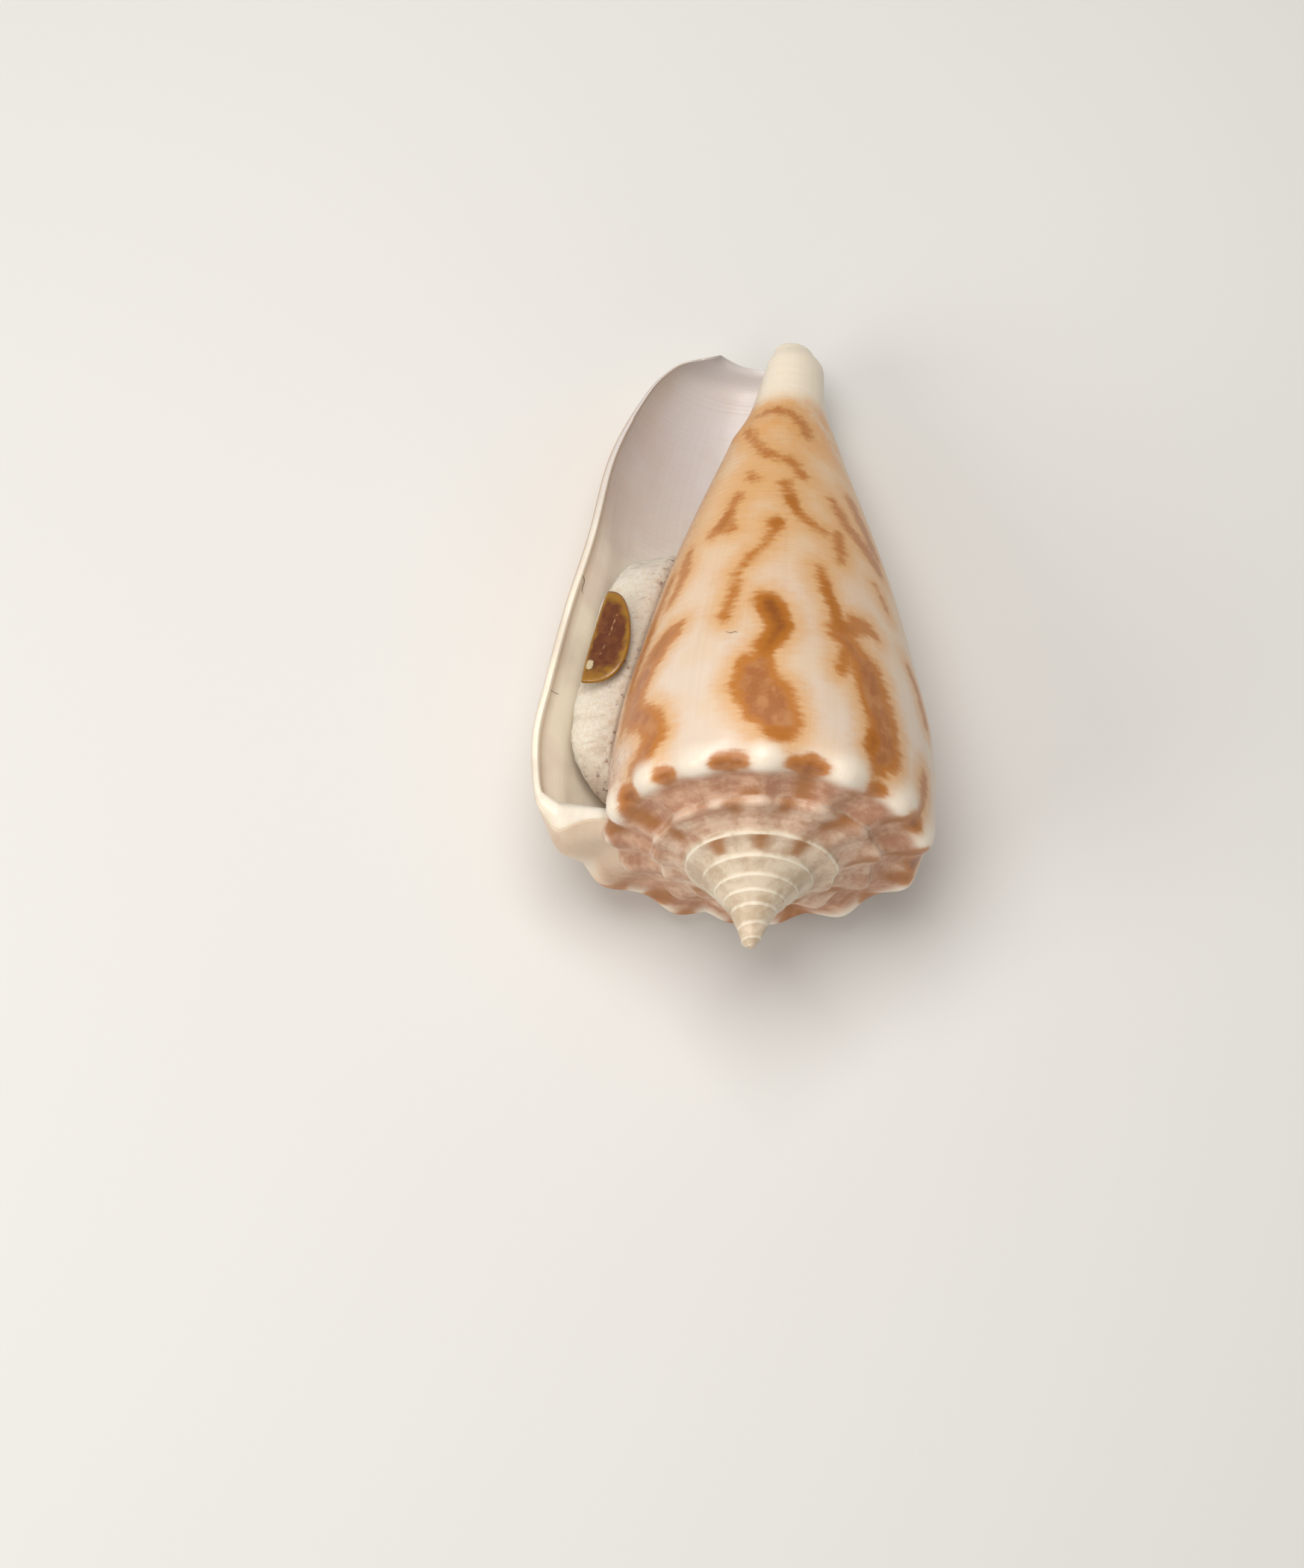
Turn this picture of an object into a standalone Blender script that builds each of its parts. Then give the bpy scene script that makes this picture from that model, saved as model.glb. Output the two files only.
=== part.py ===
"""A cone shell lying on its back, with a plug of cotton wool and its operculum in the aperture.

The shell is worked out in millimetres in its own axes: height runs along the coiling axis from the
front tip (0) to the apex, and a turn is counted back from the outer lip (0) to the apex (negative).
It is then laid down, apex towards -Y and aperture up, and stored in metres.
"""
import math

import bmesh
import bpy
import numpy as np
from mathutils import Matrix, Vector

MM = 0.001

# Whole shell, in millimetres and degrees
LENGTH = 32.0
LIP_ANGLE = 176.0
LIE_ANGLE = 13.4
FLAT_DEPTH = 0.55

# Spiral of the shoulder: turn, radius, depth below the apex
SHOULDER = [
    (-10.0, 0.2, 0.12), (-9.0, 0.33, 0.35), (-8.0, 0.6, 0.85), (-7.0, 1.0, 1.6), (-5.0, 1.85, 2.6),
    (-3.0, 3.3, 3.85), (-2.0, 4.8, 4.45), (-1.5, 5.8, 4.85), (-1.0, 6.79, 5.31), (-0.5, 7.7, 5.42),
    (-0.12, 8.58, 5.6), (0.0, 9.24, 5.94),
]
# Side of a whorl: share of the height from base (0) to shoulder (1), radius over shoulder radius
BODY_SIDE = [
    (0.0, 0.19), (0.03, 0.253), (0.12, 0.265), (0.2, 0.351), (0.35, 0.55),
    (0.5, 0.73), (0.65, 0.877), (0.8, 1.003), (0.9, 1.036), (0.96, 1.026), (1.0, 0.972),
]
LIP_SIDE = [
    (0.0, 0.342), (0.015, 0.52), (0.04, 0.596), (0.1, 0.709), (0.25, 0.871),
    (0.4, 0.935), (0.55, 1.022), (0.7, 1.093), (0.82, 1.139), (0.93, 1.108), (1.0, 1.0),
]
PARIETAL_SIDE = [(0.0, 0.08), (0.05, 0.15), (0.2, 0.3), (0.5, 0.65), (0.8, 0.87), (1.0, 0.95)]
# How far below a shoulder the next whorl joins on: turn, millimetres
SUTURE_STEP = [(-9.0, 0.05), (-6.0, 0.1), (-3.0, 0.22), (-2.0, 0.32), (-1.0, 0.45), (0.0, 0.5)]

BASE_HEIGHT = 0.49
LIP_BASE_DROP = 0.77
LIP_FRONT_REACH = 0.146
TIP_NARROWING = 0.757
CORNER_TURNS, CORNER_LIFT, CORNER_LAG = 0.1, 0.39, 0.017
RAMP_SAG = 0.1
RAMP_THICKNESS = 0.5
LIP_THICKNESS = 0.3
WALL_THICKNESS = 1.0
CAVITY_TURNS = 0.5
CANAL_MARGIN_ROW = 1.85

# Tubercles on the shoulder of the last whorl, in turns; the whorls before repeat them
TUBERCLES = [
    -0.028, -0.09, -0.175, -0.233, -0.274, -0.349, -0.437, -0.522, -0.597, -0.676, -0.763, -0.83,
    -0.894, -0.972,
]
TUBERCLE_HEIGHT = 0.5
TUBERCLE_WIDTH = 0.023
TUBERCLE_REACH = 0.045
TUBERCLE_DIP = 0.4
TUBERCLE_OUTWARD, TUBERCLE_UPWARD = 0.75, 0.55

# Mesh of the shell
TURNS = 7
COLUMNS = 60
RAMP_ROWS = 3
STEP_ROWS = 1
SIDE_ROWS = 16
TIP_RINGS = 3
SHARP_ANGLE = 50.0

# Plug of cotton wool: its depth in turns, its shares of the height, and its distance from the walls
PLUG_DEPTH = (-0.24, -0.02)
PLUG_HEIGHT = (0.375, 0.885)
PLUG_CLEARANCE = 0.4
PLUG_SQUARENESS = 0.25
PLUG_SIDES = 20
PLUG_RINGS = 12

# Operculum: a flat horny crescent
OPERCULUM_LENGTH = 5.0
OPERCULUM_WIDTH = 2.1
OPERCULUM_THICKNESS = 0.35
OPERCULUM_EDGE = 0.08
OPERCULUM_TURN = -0.005
OPERCULUM_HEIGHT_SHARE = 0.61
OPERCULUM_GAP_SHARE = 0.62
OPERCULUM_POINTS = 14


def clear_scene():
    for item in list(bpy.data.objects):
        bpy.data.objects.remove(item, do_unlink=True)


def new_collection(name):
    group = bpy.data.collections.new(name)
    bpy.context.scene.collection.children.link(group)
    return group


def material(name, colour, roughness):
    """Plain dielectric finish."""
    finish = bpy.data.materials.new(name)
    finish.use_nodes = True
    shader = finish.node_tree.nodes["Principled BSDF"]
    shader.inputs["Base Color"].default_value = (*colour, 1.0)
    shader.inputs["Roughness"].default_value = roughness
    shader.inputs["Metallic"].default_value = 0.0
    return finish


def curve_through(points):
    """Monotone cubic through the points, as a function."""
    x, y = np.array(points, float).T
    width = np.diff(x)
    slope = np.diff(y) / width
    tangent = np.zeros_like(x)
    tangent[0], tangent[-1] = slope[0], slope[-1]
    for i in range(1, len(x) - 1):
        if slope[i - 1] * slope[i] > 0:
            before = 2 * width[i] + width[i - 1]
            after = width[i] + 2 * width[i - 1]
            tangent[i] = (before + after) / (before / slope[i - 1] + after / slope[i])

    def value(q):
        q = np.clip(np.asarray(q, float), x[0], x[-1])
        i = np.clip(np.searchsorted(x, q, side="right") - 1, 0, len(width) - 1)
        s = (q - x[i]) / width[i]
        ends = y[i] * (1 + 2 * s) * (1 - s) ** 2 + y[i + 1] * s * s * (3 - 2 * s)
        bends = tangent[i] * s * (1 - s) ** 2 + tangent[i + 1] * s * s * (s - 1)
        return ends + width[i] * bends

    return value


def ease(start, end, x):
    """Smooth step from 0 at start to 1 at end."""
    s = np.clip((np.asarray(x, float) - start) / (end - start), 0, 1)
    return s * s * (3 - 2 * s)


log_radius = curve_through([(turn, math.log(radius)) for turn, radius, depth in SHOULDER])
shoulder_depth = curve_through([(turn, depth) for turn, radius, depth in SHOULDER])
body_side = curve_through(BODY_SIDE)
lip_side = curve_through(LIP_SIDE)
parietal_side = curve_through(PARIETAL_SIDE)
suture_step = curve_through(SUTURE_STEP)


def shoulder_height(turn):
    return LENGTH - shoulder_depth(turn)


def base_height(turn):
    """Height of the front margin; it is rounded off where it meets the lip."""
    corner = np.clip(1 + np.asarray(turn, float) / CORNER_TURNS, 0, 1)
    lift = CORNER_LIFT * (1 - np.sqrt(1 - corner ** 2))
    return BASE_HEIGHT - LIP_BASE_DROP * ease(-0.6, -0.12, turn) + lift


def place(turn, radius, height):
    """Point of the shell's own axes at a turn, radius and height."""
    angle = math.radians(LIP_ANGLE) - 2 * math.pi * np.asarray(turn, float)
    return np.stack(np.broadcast_arrays(radius * np.cos(angle), radius * np.sin(angle), height), -1)


def tubercle(turn):
    """Rise of the shoulder: knobs with shallow dips between them."""
    turn = np.asarray(turn, float)
    last_whorl = turn - np.floor(turn + 1)
    distance = np.min(np.abs(last_whorl[..., None] - np.array(TUBERCLES)), axis=-1)
    knob = np.exp(-((distance / TUBERCLE_WIDTH) ** 2)) - TUBERCLE_DIP
    return TUBERCLE_HEIGHT * ease(-3.2, -1.2, turn) * knob


def side(turn, row, knobs=True):
    """Radius and height on a whorl's side, where row runs from 1 at the shoulder to 2 at the base."""
    share = np.clip(2 - row, 0, 1)
    to_lip = ease(-0.6 + LIP_FRONT_REACH * np.clip(1 - share / 0.15, 0, 1), -0.02, turn)
    to_parietal = ease(-0.7, -1.55, turn)
    narrowing = TIP_NARROWING * np.clip(1 - share / 0.2, 0, 1) * ease(-0.6, -1.1, turn)
    factor = body_side(share) * (1 - narrowing) * (1 - to_lip) + lip_side(share) * to_lip
    factor = factor * (1 - to_parietal) + parietal_side(share) * to_parietal
    rise = tubercle(turn) * np.exp(-(((row - 1) / TUBERCLE_REACH) ** 2)) * knobs
    low = base_height(turn)
    height = low + (shoulder_height(turn) - low) * share
    radius = np.exp(log_radius(turn)) * factor
    return radius + TUBERCLE_OUTWARD * rise, height + TUBERCLE_UPWARD * rise


def suture_row(turn):
    """Row of a whorl's side where the next whorl joins on."""
    return 1 + suture_step(turn) / (shoulder_height(turn) - base_height(turn))


def ramp(turn, row, knobs=True):
    """Radius and height between the suture (row 0) and the shoulder (row 1)."""
    inner_radius, inner_height = side(turn - 1, suture_row(turn - 1), knobs)
    outer_radius, outer_height = side(turn, np.ones_like(row), knobs)
    sag = RAMP_SAG * (outer_radius - inner_radius) * np.sin(math.pi * row)
    radius = inner_radius + (outer_radius - inner_radius) * row
    return radius, inner_height + (outer_height - inner_height) * row - sag


def outer(turn, row, knobs=True):
    """Outer surface of the shell: ramp for rows 0 to 1, side for rows 1 to 2."""
    on_ramp = ramp(turn, np.minimum(row, 1), knobs)
    on_side = side(turn, np.maximum(row, 1), knobs)
    return [np.where(row < 1, a, b) for a, b in zip(on_ramp, on_side)]


def lag(turn, row):
    """How far the growing edge lies behind, in turns: the lip is not quite radial."""
    share = np.clip(2 - row, 0, 1)
    on_ramp = 0.04 * np.clip(row, 0, 1) ** 0.8
    corner = CORNER_LAG * np.clip(1 - share / 0.08, 0, 1) ** 2
    on_side = 0.025 + 0.015 * np.clip(2 * share - 1, 0, 1) ** 2 + corner
    return np.where(row < 1, on_ramp, on_side) * ease(-0.4, 0.0, turn)


def outer_point(turn, row):
    return place(turn - lag(turn, row), *outer(turn, row))


def inner_point(turn, row):
    """Inside of the last whorl's wall, set in from the outer surface along its normal."""
    step = 1e-3
    radius_a, height_a = outer(turn, row - step, knobs=False)
    radius_b, height_b = outer(turn, row + step, knobs=False)
    across, down = radius_b - radius_a, height_b - height_a
    length = np.hypot(across, down)
    share = np.clip(2 - row, 0, 1)
    wall = LIP_THICKNESS + (WALL_THICKNESS - LIP_THICKNESS) * ease(0.0, -0.2, turn)
    wall = wall * (0.45 + 0.55 * ease(0.0, 0.35, share))
    radius, height = outer(turn, row, knobs=False)
    height = height - across / length * wall * (row < CANAL_MARGIN_ROW)
    return place(turn - lag(turn, row), radius + down / length * wall, height)


def parietal_point(turn, row):
    """Wall of the whorl before, facing the cavity at this turn."""
    return place(turn - 1, *side(turn - 1, row, knobs=False))


def row_positions(turn):
    """Rows of one mesh column, from the suture over the shoulder to the base."""
    suture = float(suture_row(turn))
    under_ramp = suture + RAMP_THICKNESS / float(shoulder_height(turn) - base_height(turn))
    share = np.linspace(0, 1, SIDE_ROWS)
    share = share + 0.1 * np.sin(math.pi * share)
    on_ramp = [j / RAMP_ROWS for j in range(RAMP_ROWS)]
    on_step = [1 + (suture - 1) * j / STEP_ROWS for j in range(STEP_ROWS + 1)]
    return np.array(on_ramp + on_step + list(under_ramp + (2 - under_ramp) * share))


class ShellMesh:
    """The closed surface of the shell: a spiral ribbon, a cavity behind the lip, and a round tip.

    Column i stands at turn i / COLUMNS. Row `suture` of one whorl is row 0 of the next one.
    """

    def __init__(self):
        self.points = []
        self.faces = []
        self.index = {}
        self.first = -TURNS * COLUMNS
        self.suture = RAMP_ROWS + STEP_ROWS
        self.last = self.suture + SIDE_ROWS
        self.deep = -int(CAVITY_TURNS * COLUMNS)
        self.rows = {i: row_positions(i / COLUMNS) for i in range(self.first, 1)}
        self.apex = self.add("apex", lambda: np.array([0.0, 0.0, LENGTH]))
        self.spiral_ribbon()
        self.cavity()
        self.edges()
        self.tip()

    def add(self, key, make):
        if key not in self.index:
            point = make()
            self.index[key] = len(self.points)
            self.points.append(point)
        return self.index[key]

    def face(self, *corners):
        unique = list(dict.fromkeys(corners))
        if len(unique) > 2:
            self.faces.append(unique)

    def outside(self, i, j):
        if j == 0:
            before = i - COLUMNS
            return self.apex if before < self.first else self.outside(before, self.suture)
        if i == self.first:
            return self.add("start", lambda: outer_point(i / COLUMNS, self.rows[i][1]))
        return self.add(("out", i, j), lambda: outer_point(i / COLUMNS, self.rows[i][j]))

    def inside(self, i, j):
        if j == 0:
            return self.outside(i - COLUMNS, self.suture + 1)
        if j <= RAMP_ROWS:
            return self.add(("in", i, j), lambda: self.ceiling_point(i, j))
        return self.add(("in", i, j), lambda: inner_point(i / COLUMNS, self.rows[i][j]))

    def ceiling_point(self, i, j):
        """Ceiling of the cavity, from the wall of the whorl before to the inside of the shoulder."""
        low = self.points[self.outside(i - COLUMNS, self.suture + 1)]
        high = self.points[self.inside(i, RAMP_ROWS + 1)]
        return low + (high - low) * j / (RAMP_ROWS + 1)

    def quad_strip(self, near, far, rows, flip=False):
        for j in rows:
            corners = [near(j), far(j), far(j + 1), near(j + 1)]
            self.face(*(reversed(corners) if flip else corners))

    def spiral_ribbon(self):
        for i in range(self.first, 0):
            rows = range(self.last if i >= -COLUMNS else self.suture)
            self.quad_strip(lambda j: self.outside(i, j), lambda j: self.outside(i + 1, j), rows)

    def cavity(self):
        wall_rows = range(self.suture + 1, self.last)
        for i in range(self.deep - COLUMNS, -COLUMNS):
            self.quad_strip(lambda j: self.outside(i, j), lambda j: self.outside(i + 1, j), wall_rows)
        for i in range(self.deep, 0):
            near, far = (lambda j: self.inside(i, j)), (lambda j: self.inside(i + 1, j))
            self.quad_strip(near, far, range(self.last), flip=True)
        deep, wall = self.deep, self.deep - COLUMNS
        for j in range(1, self.suture + 1):
            self.face(self.outside(wall, self.suture + 1), self.inside(deep, j + 1), self.inside(deep, j))
        near, far = (lambda j: self.inside(deep, j)), (lambda j: self.outside(wall, j))
        self.quad_strip(near, far, wall_rows)

    def edge(self, i, j):
        """Middle of the rounded edge between the outer and the inner wall."""

        def make():
            out, inn = self.points[self.outside(i, j)], self.points[self.inside(i, j)]
            angle = math.radians(LIP_ANGLE) - 2 * math.pi * i / COLUMNS
            forward = np.array([math.sin(angle), -math.cos(angle), 0.0])
            bulge = forward if i == 0 else np.array([0.0, 0.0, -1.0])
            return (out + inn) / 2 + 0.45 * np.linalg.norm(out - inn) * bulge

        return self.add(("edge", i, j), make)

    def edges(self):
        """Outer lip, and the front margin of the canal."""
        last = self.last
        for j in range(1, last):
            self.face(self.outside(0, j), self.edge(0, j), self.edge(0, j + 1), self.outside(0, j + 1))
            self.face(self.edge(0, j), self.inside(0, j), self.inside(0, j + 1), self.edge(0, j + 1))
        self.face(self.outside(0, 0), self.inside(0, 0), self.inside(0, 1), self.edge(0, 1))
        self.face(self.outside(0, 0), self.edge(0, 1), self.outside(0, 1))
        for i in range(self.deep, 0):
            near, far = self.edge(i, last), self.edge(i + 1, last)
            self.face(self.outside(i, last), self.outside(i + 1, last), far, near)
            self.face(near, far, self.inside(i + 1, last), self.inside(i, last))

    def tip(self):
        """Round front end of the pillar."""
        last, deep = self.last, self.deep
        ring = [self.outside(i, last) for i in range(deep - COLUMNS, deep + 1)]
        ring += [self.edge(deep, last), self.inside(deep, last)]
        centre = np.mean([self.points[k] for k in ring], axis=0)
        centre[2] = 0.0
        above = ring
        for step in range(1, TIP_RINGS):
            angle = step / TIP_RINGS * math.pi / 2
            below = []
            for number, k in enumerate(ring):
                point = centre + (self.points[k] - centre) * math.cos(angle)
                point[2] = self.points[k][2] * (1 - math.sin(angle))
                below.append(self.add(("tip", step, number), lambda: point))
            self.join_rings(above, below)
            above = below
        end = self.add("tip end", lambda: centre)
        self.join_rings(above, [end] * len(ring))

    def join_rings(self, above, below):
        for a in range(len(above)):
            b = (a + 1) % len(above)
            self.face(above[a], above[b], below[b], below[a])


def lie_down(points):
    """Turn shell axes into the resting pose: apex towards -Y, aperture up."""
    lie = math.radians(LIE_ANGLE)
    x, y, height = np.moveaxis(np.asarray(points, float), -1, 0)
    back = y * math.sin(lie) - height * math.cos(lie)
    up = y * math.cos(lie) + height * math.sin(lie)
    return np.stack([x, back, up], -1)


def resting_shift(points):
    """Shift that puts the lowest point FLAT_DEPTH under the ground and centres the plan."""
    low, high = points.min(axis=0), points.max(axis=0)
    middle = (low + high) / 2
    return np.array([-middle[0], -middle[1], -low[2] - FLAT_DEPTH])


def mesh_object(name, points, faces, finish, group):
    mesh = bpy.data.meshes.new(name)
    body = bmesh.new()
    corners = [body.verts.new(Vector(point) * MM) for point in points]
    for face in faces:
        body.faces.new([corners[k] for k in face])
    bmesh.ops.triangulate(body, faces=body.faces[:])
    bmesh.ops.recalc_face_normals(body, faces=body.faces[:])
    body.to_mesh(mesh)
    body.free()
    mesh.shade_smooth()
    mesh.set_sharp_from_angle(angle=math.radians(SHARP_ANGLE))
    mesh.materials.append(finish)
    item = bpy.data.objects.new(name, mesh)
    group.objects.link(item)
    return item


def make_shell(group):
    """The shell, with small flats where it rests. Gives back the shift from laid-down to world."""
    form = ShellMesh()
    points = lie_down(form.points)
    shift = resting_shift(points)
    points = points + shift
    points[:, 2] = np.maximum(points[:, 2], 0.0)
    finish = material("shell porcelain", (0.86, 0.74, 0.62), 0.3)
    mesh_object("shell", points, form.faces, finish, group)
    return shift


def cavity_point(turn, share, across):
    """Point in the cavity: across is 0 on the wall of the whorl before and 1 inside the lip's wall."""
    row = 2 - share
    return (1 - across) * parietal_point(turn, row) + across * inner_point(turn, row)


def plug_point(ring, side_number):
    """Point of the plug's surface: a squarish section, drawn in round at both ends."""
    along = (ring + 0.5) / PLUG_RINGS * 2 - 1
    size = (1 - abs(along) ** 3) ** 0.5
    angle = 2 * math.pi * side_number / PLUG_SIDES
    deep = math.copysign(abs(math.cos(angle)) ** PLUG_SQUARENESS, math.cos(angle)) * size
    wide = math.copysign(abs(math.sin(angle)) ** PLUG_SQUARENESS, math.sin(angle)) * size
    turn, share = (
        np.array((low + high) / 2 + (high - low) / 2 * value)
        for (low, high), value in ((PLUG_DEPTH, deep), (PLUG_HEIGHT, along))
    )
    gap = np.linalg.norm(inner_point(turn, 2 - share) - parietal_point(turn, 2 - share))
    return cavity_point(turn, share, 0.5 + (0.5 - PLUG_CLEARANCE / gap) * wide)


def make_plug(shift, group):
    points = [plug_point(r, s) for r in range(PLUG_RINGS) for s in range(PLUG_SIDES)]
    faces = [[s for s in range(PLUG_SIDES)], [s + (PLUG_RINGS - 1) * PLUG_SIDES for s in range(PLUG_SIDES)]]
    for r in range(PLUG_RINGS - 1):
        for s in range(PLUG_SIDES):
            t = (s + 1) % PLUG_SIDES
            faces.append([k * PLUG_SIDES + m for k, m in ((r, s), (r, t), (r + 1, t), (r + 1, s))])
    finish = material("cotton wool", (0.9, 0.87, 0.8), 0.95)
    mesh_object("cotton_plug", lie_down(points) + shift, faces, finish, group)


def crescent_outline():
    """Closed outline: a round outer edge, widest towards the apex, and a nearly straight inner edge."""
    half = OPERCULUM_LENGTH / 2
    outline = []
    for k in range(OPERCULUM_POINTS + 1):
        angle = math.pi * k / OPERCULUM_POINTS
        bulge = max(math.sin(angle), 0.0) ** 0.75 * (1 + 0.25 * math.cos(angle))
        outline.append((OPERCULUM_WIDTH * 0.8 * bulge, -half * math.cos(angle)))
    for k in range(1, OPERCULUM_POINTS):
        angle = math.pi * k / OPERCULUM_POINTS
        outline.append((-OPERCULUM_WIDTH * 0.2 * math.sin(angle), half * math.cos(angle)))
    return outline


def make_operculum(shift, group):
    """The crescent lies over the plug's face, along it."""
    spot = [OPERCULUM_HEIGHT_SHARE, OPERCULUM_GAP_SHARE]
    turn = np.array(OPERCULUM_TURN)
    centre, ahead, aside = (
        Vector(lie_down(cavity_point(turn, np.array(share), np.array(across))) + shift)
        for share, across in (spot, (spot[0] + 0.05, spot[1]), (spot[0], spot[1] - 0.1))
    )
    along = (centre - ahead).normalized()
    normal = (aside - centre).cross(along).normalized()
    width = along.cross(normal)
    curve = bpy.data.curves.new("operculum", "CURVE")
    curve.dimensions = "2D"
    curve.fill_mode = "BOTH"
    curve.extrude = (OPERCULUM_THICKNESS / 2 - OPERCULUM_EDGE) * MM
    curve.bevel_depth = OPERCULUM_EDGE * MM
    curve.bevel_resolution = 1
    outline = crescent_outline()
    spline = curve.splines.new("POLY")
    spline.points.add(len(outline) - 1)
    for point, (x, y) in zip(spline.points, outline):
        point.co = (x * MM, y * MM, 0.0, 1.0)
    spline.use_cyclic_u = True
    curve.materials.append(material("operculum horn", (0.33, 0.17, 0.03), 0.3))
    item = bpy.data.objects.new("operculum", curve)
    axes = Matrix((width, along, normal)).transposed().to_4x4()
    item.matrix_world = Matrix.Translation(centre * MM) @ axes
    group.objects.link(item)


def main():
    clear_scene()
    group = new_collection("cone shell")
    shift = make_shell(group)
    make_plug(shift, group)
    make_operculum(shift, group)


main()
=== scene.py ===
"""Looks of the cone shell: its fine porcelain surface with the flame pattern, the plug of cotton wool,
the horny operculum and a few loose fibres, on a pale floor.

Shell axes are in millimetres: height runs along the coiling axis from the front tip (0) to the apex, and
a turn is counted back from the outer lip (0) to the apex (negative). Rows run from the suture (0) over
the shoulder (1) to the base (2); share is the share of the side's height, 1 at the shoulder.
"""
import math

import bpy
import numpy as np
from mathutils import Matrix, Vector, noise
from mathutils.bvhtree import BVHTree


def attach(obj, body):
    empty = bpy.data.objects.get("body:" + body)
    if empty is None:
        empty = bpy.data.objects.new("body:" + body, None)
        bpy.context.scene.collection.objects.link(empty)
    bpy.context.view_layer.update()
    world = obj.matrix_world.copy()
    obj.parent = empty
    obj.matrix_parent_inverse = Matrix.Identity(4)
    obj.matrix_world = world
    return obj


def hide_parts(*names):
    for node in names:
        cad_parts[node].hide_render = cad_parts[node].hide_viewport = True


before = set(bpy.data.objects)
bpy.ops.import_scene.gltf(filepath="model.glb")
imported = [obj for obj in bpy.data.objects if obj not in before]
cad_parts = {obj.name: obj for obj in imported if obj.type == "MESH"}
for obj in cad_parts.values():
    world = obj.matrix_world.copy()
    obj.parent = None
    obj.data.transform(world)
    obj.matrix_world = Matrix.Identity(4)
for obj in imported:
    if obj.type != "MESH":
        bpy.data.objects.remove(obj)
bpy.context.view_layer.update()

MM = 0.001
LENGTH = 32.0  # along the coiling axis
LIP_ANGLE = 176.0  # round that axis
LIE_ANGLE = 13.4  # between the axis and the floor
SHIFT = np.array([1.209, 15.517, 3.877])  # from the laid-down axes to the frame

# Spiral of the shoulder: turn, radius, depth below the apex
SHOULDER = [
    (-10.0, 0.14, 0.03), (-9.0, 0.42, 0.26), (-8.0, 0.62, 0.83), (-7.0, 1.0, 1.6), (-5.0, 1.85, 2.6),
    (-3.0, 3.3, 3.85), (-2.0, 4.8, 4.45), (-1.5, 5.8, 4.85), (-1.0, 6.79, 5.31), (-0.5, 7.7, 5.42),
    (-0.12, 8.58, 5.6), (0.0, 9.24, 5.94),
]
# Side of a whorl: share of its height, radius over the shoulder's radius
BODY_SIDE = [
    (0.0, 0.19), (0.03, 0.253), (0.12, 0.265), (0.2, 0.351), (0.35, 0.55),
    (0.5, 0.73), (0.65, 0.877), (0.8, 1.003), (0.9, 1.036), (0.96, 1.026), (1.0, 0.972),
]
LIP_SIDE = [
    (0.0, 0.342), (0.015, 0.52), (0.04, 0.596), (0.1, 0.709), (0.25, 0.871),
    (0.4, 0.935), (0.55, 1.022), (0.7, 1.093), (0.82, 1.139), (0.93, 1.108), (1.0, 1.0),
]
PARIETAL_SIDE = [(0.0, 0.08), (0.05, 0.15), (0.2, 0.3), (0.5, 0.65), (0.8, 0.87), (1.0, 0.95)]
# How far below a shoulder the next whorl joins on: turn, millimetres
SUTURE_STEP = [(-9.0, 0.05), (-6.0, 0.1), (-3.0, 0.22), (-2.0, 0.32), (-1.0, 0.45), (0.0, 0.5)]
BASE_HEIGHT = 0.49
LIP_BASE_DROP = 0.77
LIP_FRONT_REACH, LIP_FRONT_SHARE = 0.146, 0.15
TIP_NARROWING, TIP_SHARE = 0.757, 0.2
CORNER_TURNS, CORNER_LIFT, CORNER_LAG, CORNER_SHARE = 0.075, 0.5, 0.017, 0.08
RAMP_SAG = 0.1
RAMP_THICKNESS = 0.5
CAVITY_TURNS = 0.5
CANAL_MARGIN_ROW = 1.85
ROUNDING_RAMP, ROUNDING_SIDE = 0.3, 0.02  # rows over which the shoulder's corner is rounded
ROUNDING_STEP = 0.7  # share of the step that is rounded on the whorls before

# Turns over which the side changes from one form to the next
BODY_TO_LIP = (-0.6, -0.02)
BODY_TO_PARIETAL = (-0.7, -1.55)
BODY_TO_TIP = (-0.6, -1.1)
BASE_TO_LIP = (-0.6, -0.12)

# The lip's edge lags behind its turn, in turns, most of all at the shoulder
LAG_START = -0.4
LAG_SHOULDER, LAG_SIDE = 0.04, 0.025

# Wall of the last whorl, thin at the lip and at the base, in mm, turns and shares
LIP_THICKNESS, WALL_THICKNESS, WALL_TURNS = 0.3, 1.0, 0.2
BASE_THINNING, THINNING_SHARE = 0.45, 0.35
LIP_BEVEL, BEVEL_TURNS = 0.55, 0.035  # how much thicker the lip grows just behind its edge
BEVEL_START, BEVEL_END = (0.3, 0.5), (0.97, 1.0)
LIP_SHOULDER_EXTRA, EXTRA_TURNS = 1.2, 0.12  # how much thicker the lip's edge is at the shoulder
EXTRA_START = (0.9, 1.0)
LIP_EDGE_BULGE = 0.3

# Knobs on the shoulder of the last whorl, in turns; the whorls before repeat them
TUBERCLES = [
    -0.028, -0.09, -0.175, -0.233, -0.274, -0.349, -0.437, -0.522, -0.597, -0.676, -0.763, -0.83,
    -0.894, -0.972,
]
TUBERCLE_HEIGHT = 0.6
TUBERCLE_WIDTH = 0.023
TUBERCLE_REACH = 0.045
TUBERCLE_DIP = 0.4
TUBERCLES_GROW = (-3.2, -1.2)
TUBERCLE_OUTWARD, TUBERCLE_UPWARD = 0.75, 0.55

# Fine mesh of the shell
TURNS = 10
COLUMNS = 216
RAMP_ROWS = 12
STEP_ROWS = 4
SIDE_ROWS = 110
ROW_CROWDING = 0.1  # draws the rows of the side towards the base
EDGE_ROWS = 4
TIP_RINGS = 10
INSIDE_ROWS = 3.0  # added to the rows in the coil's coordinates of the inside

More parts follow.
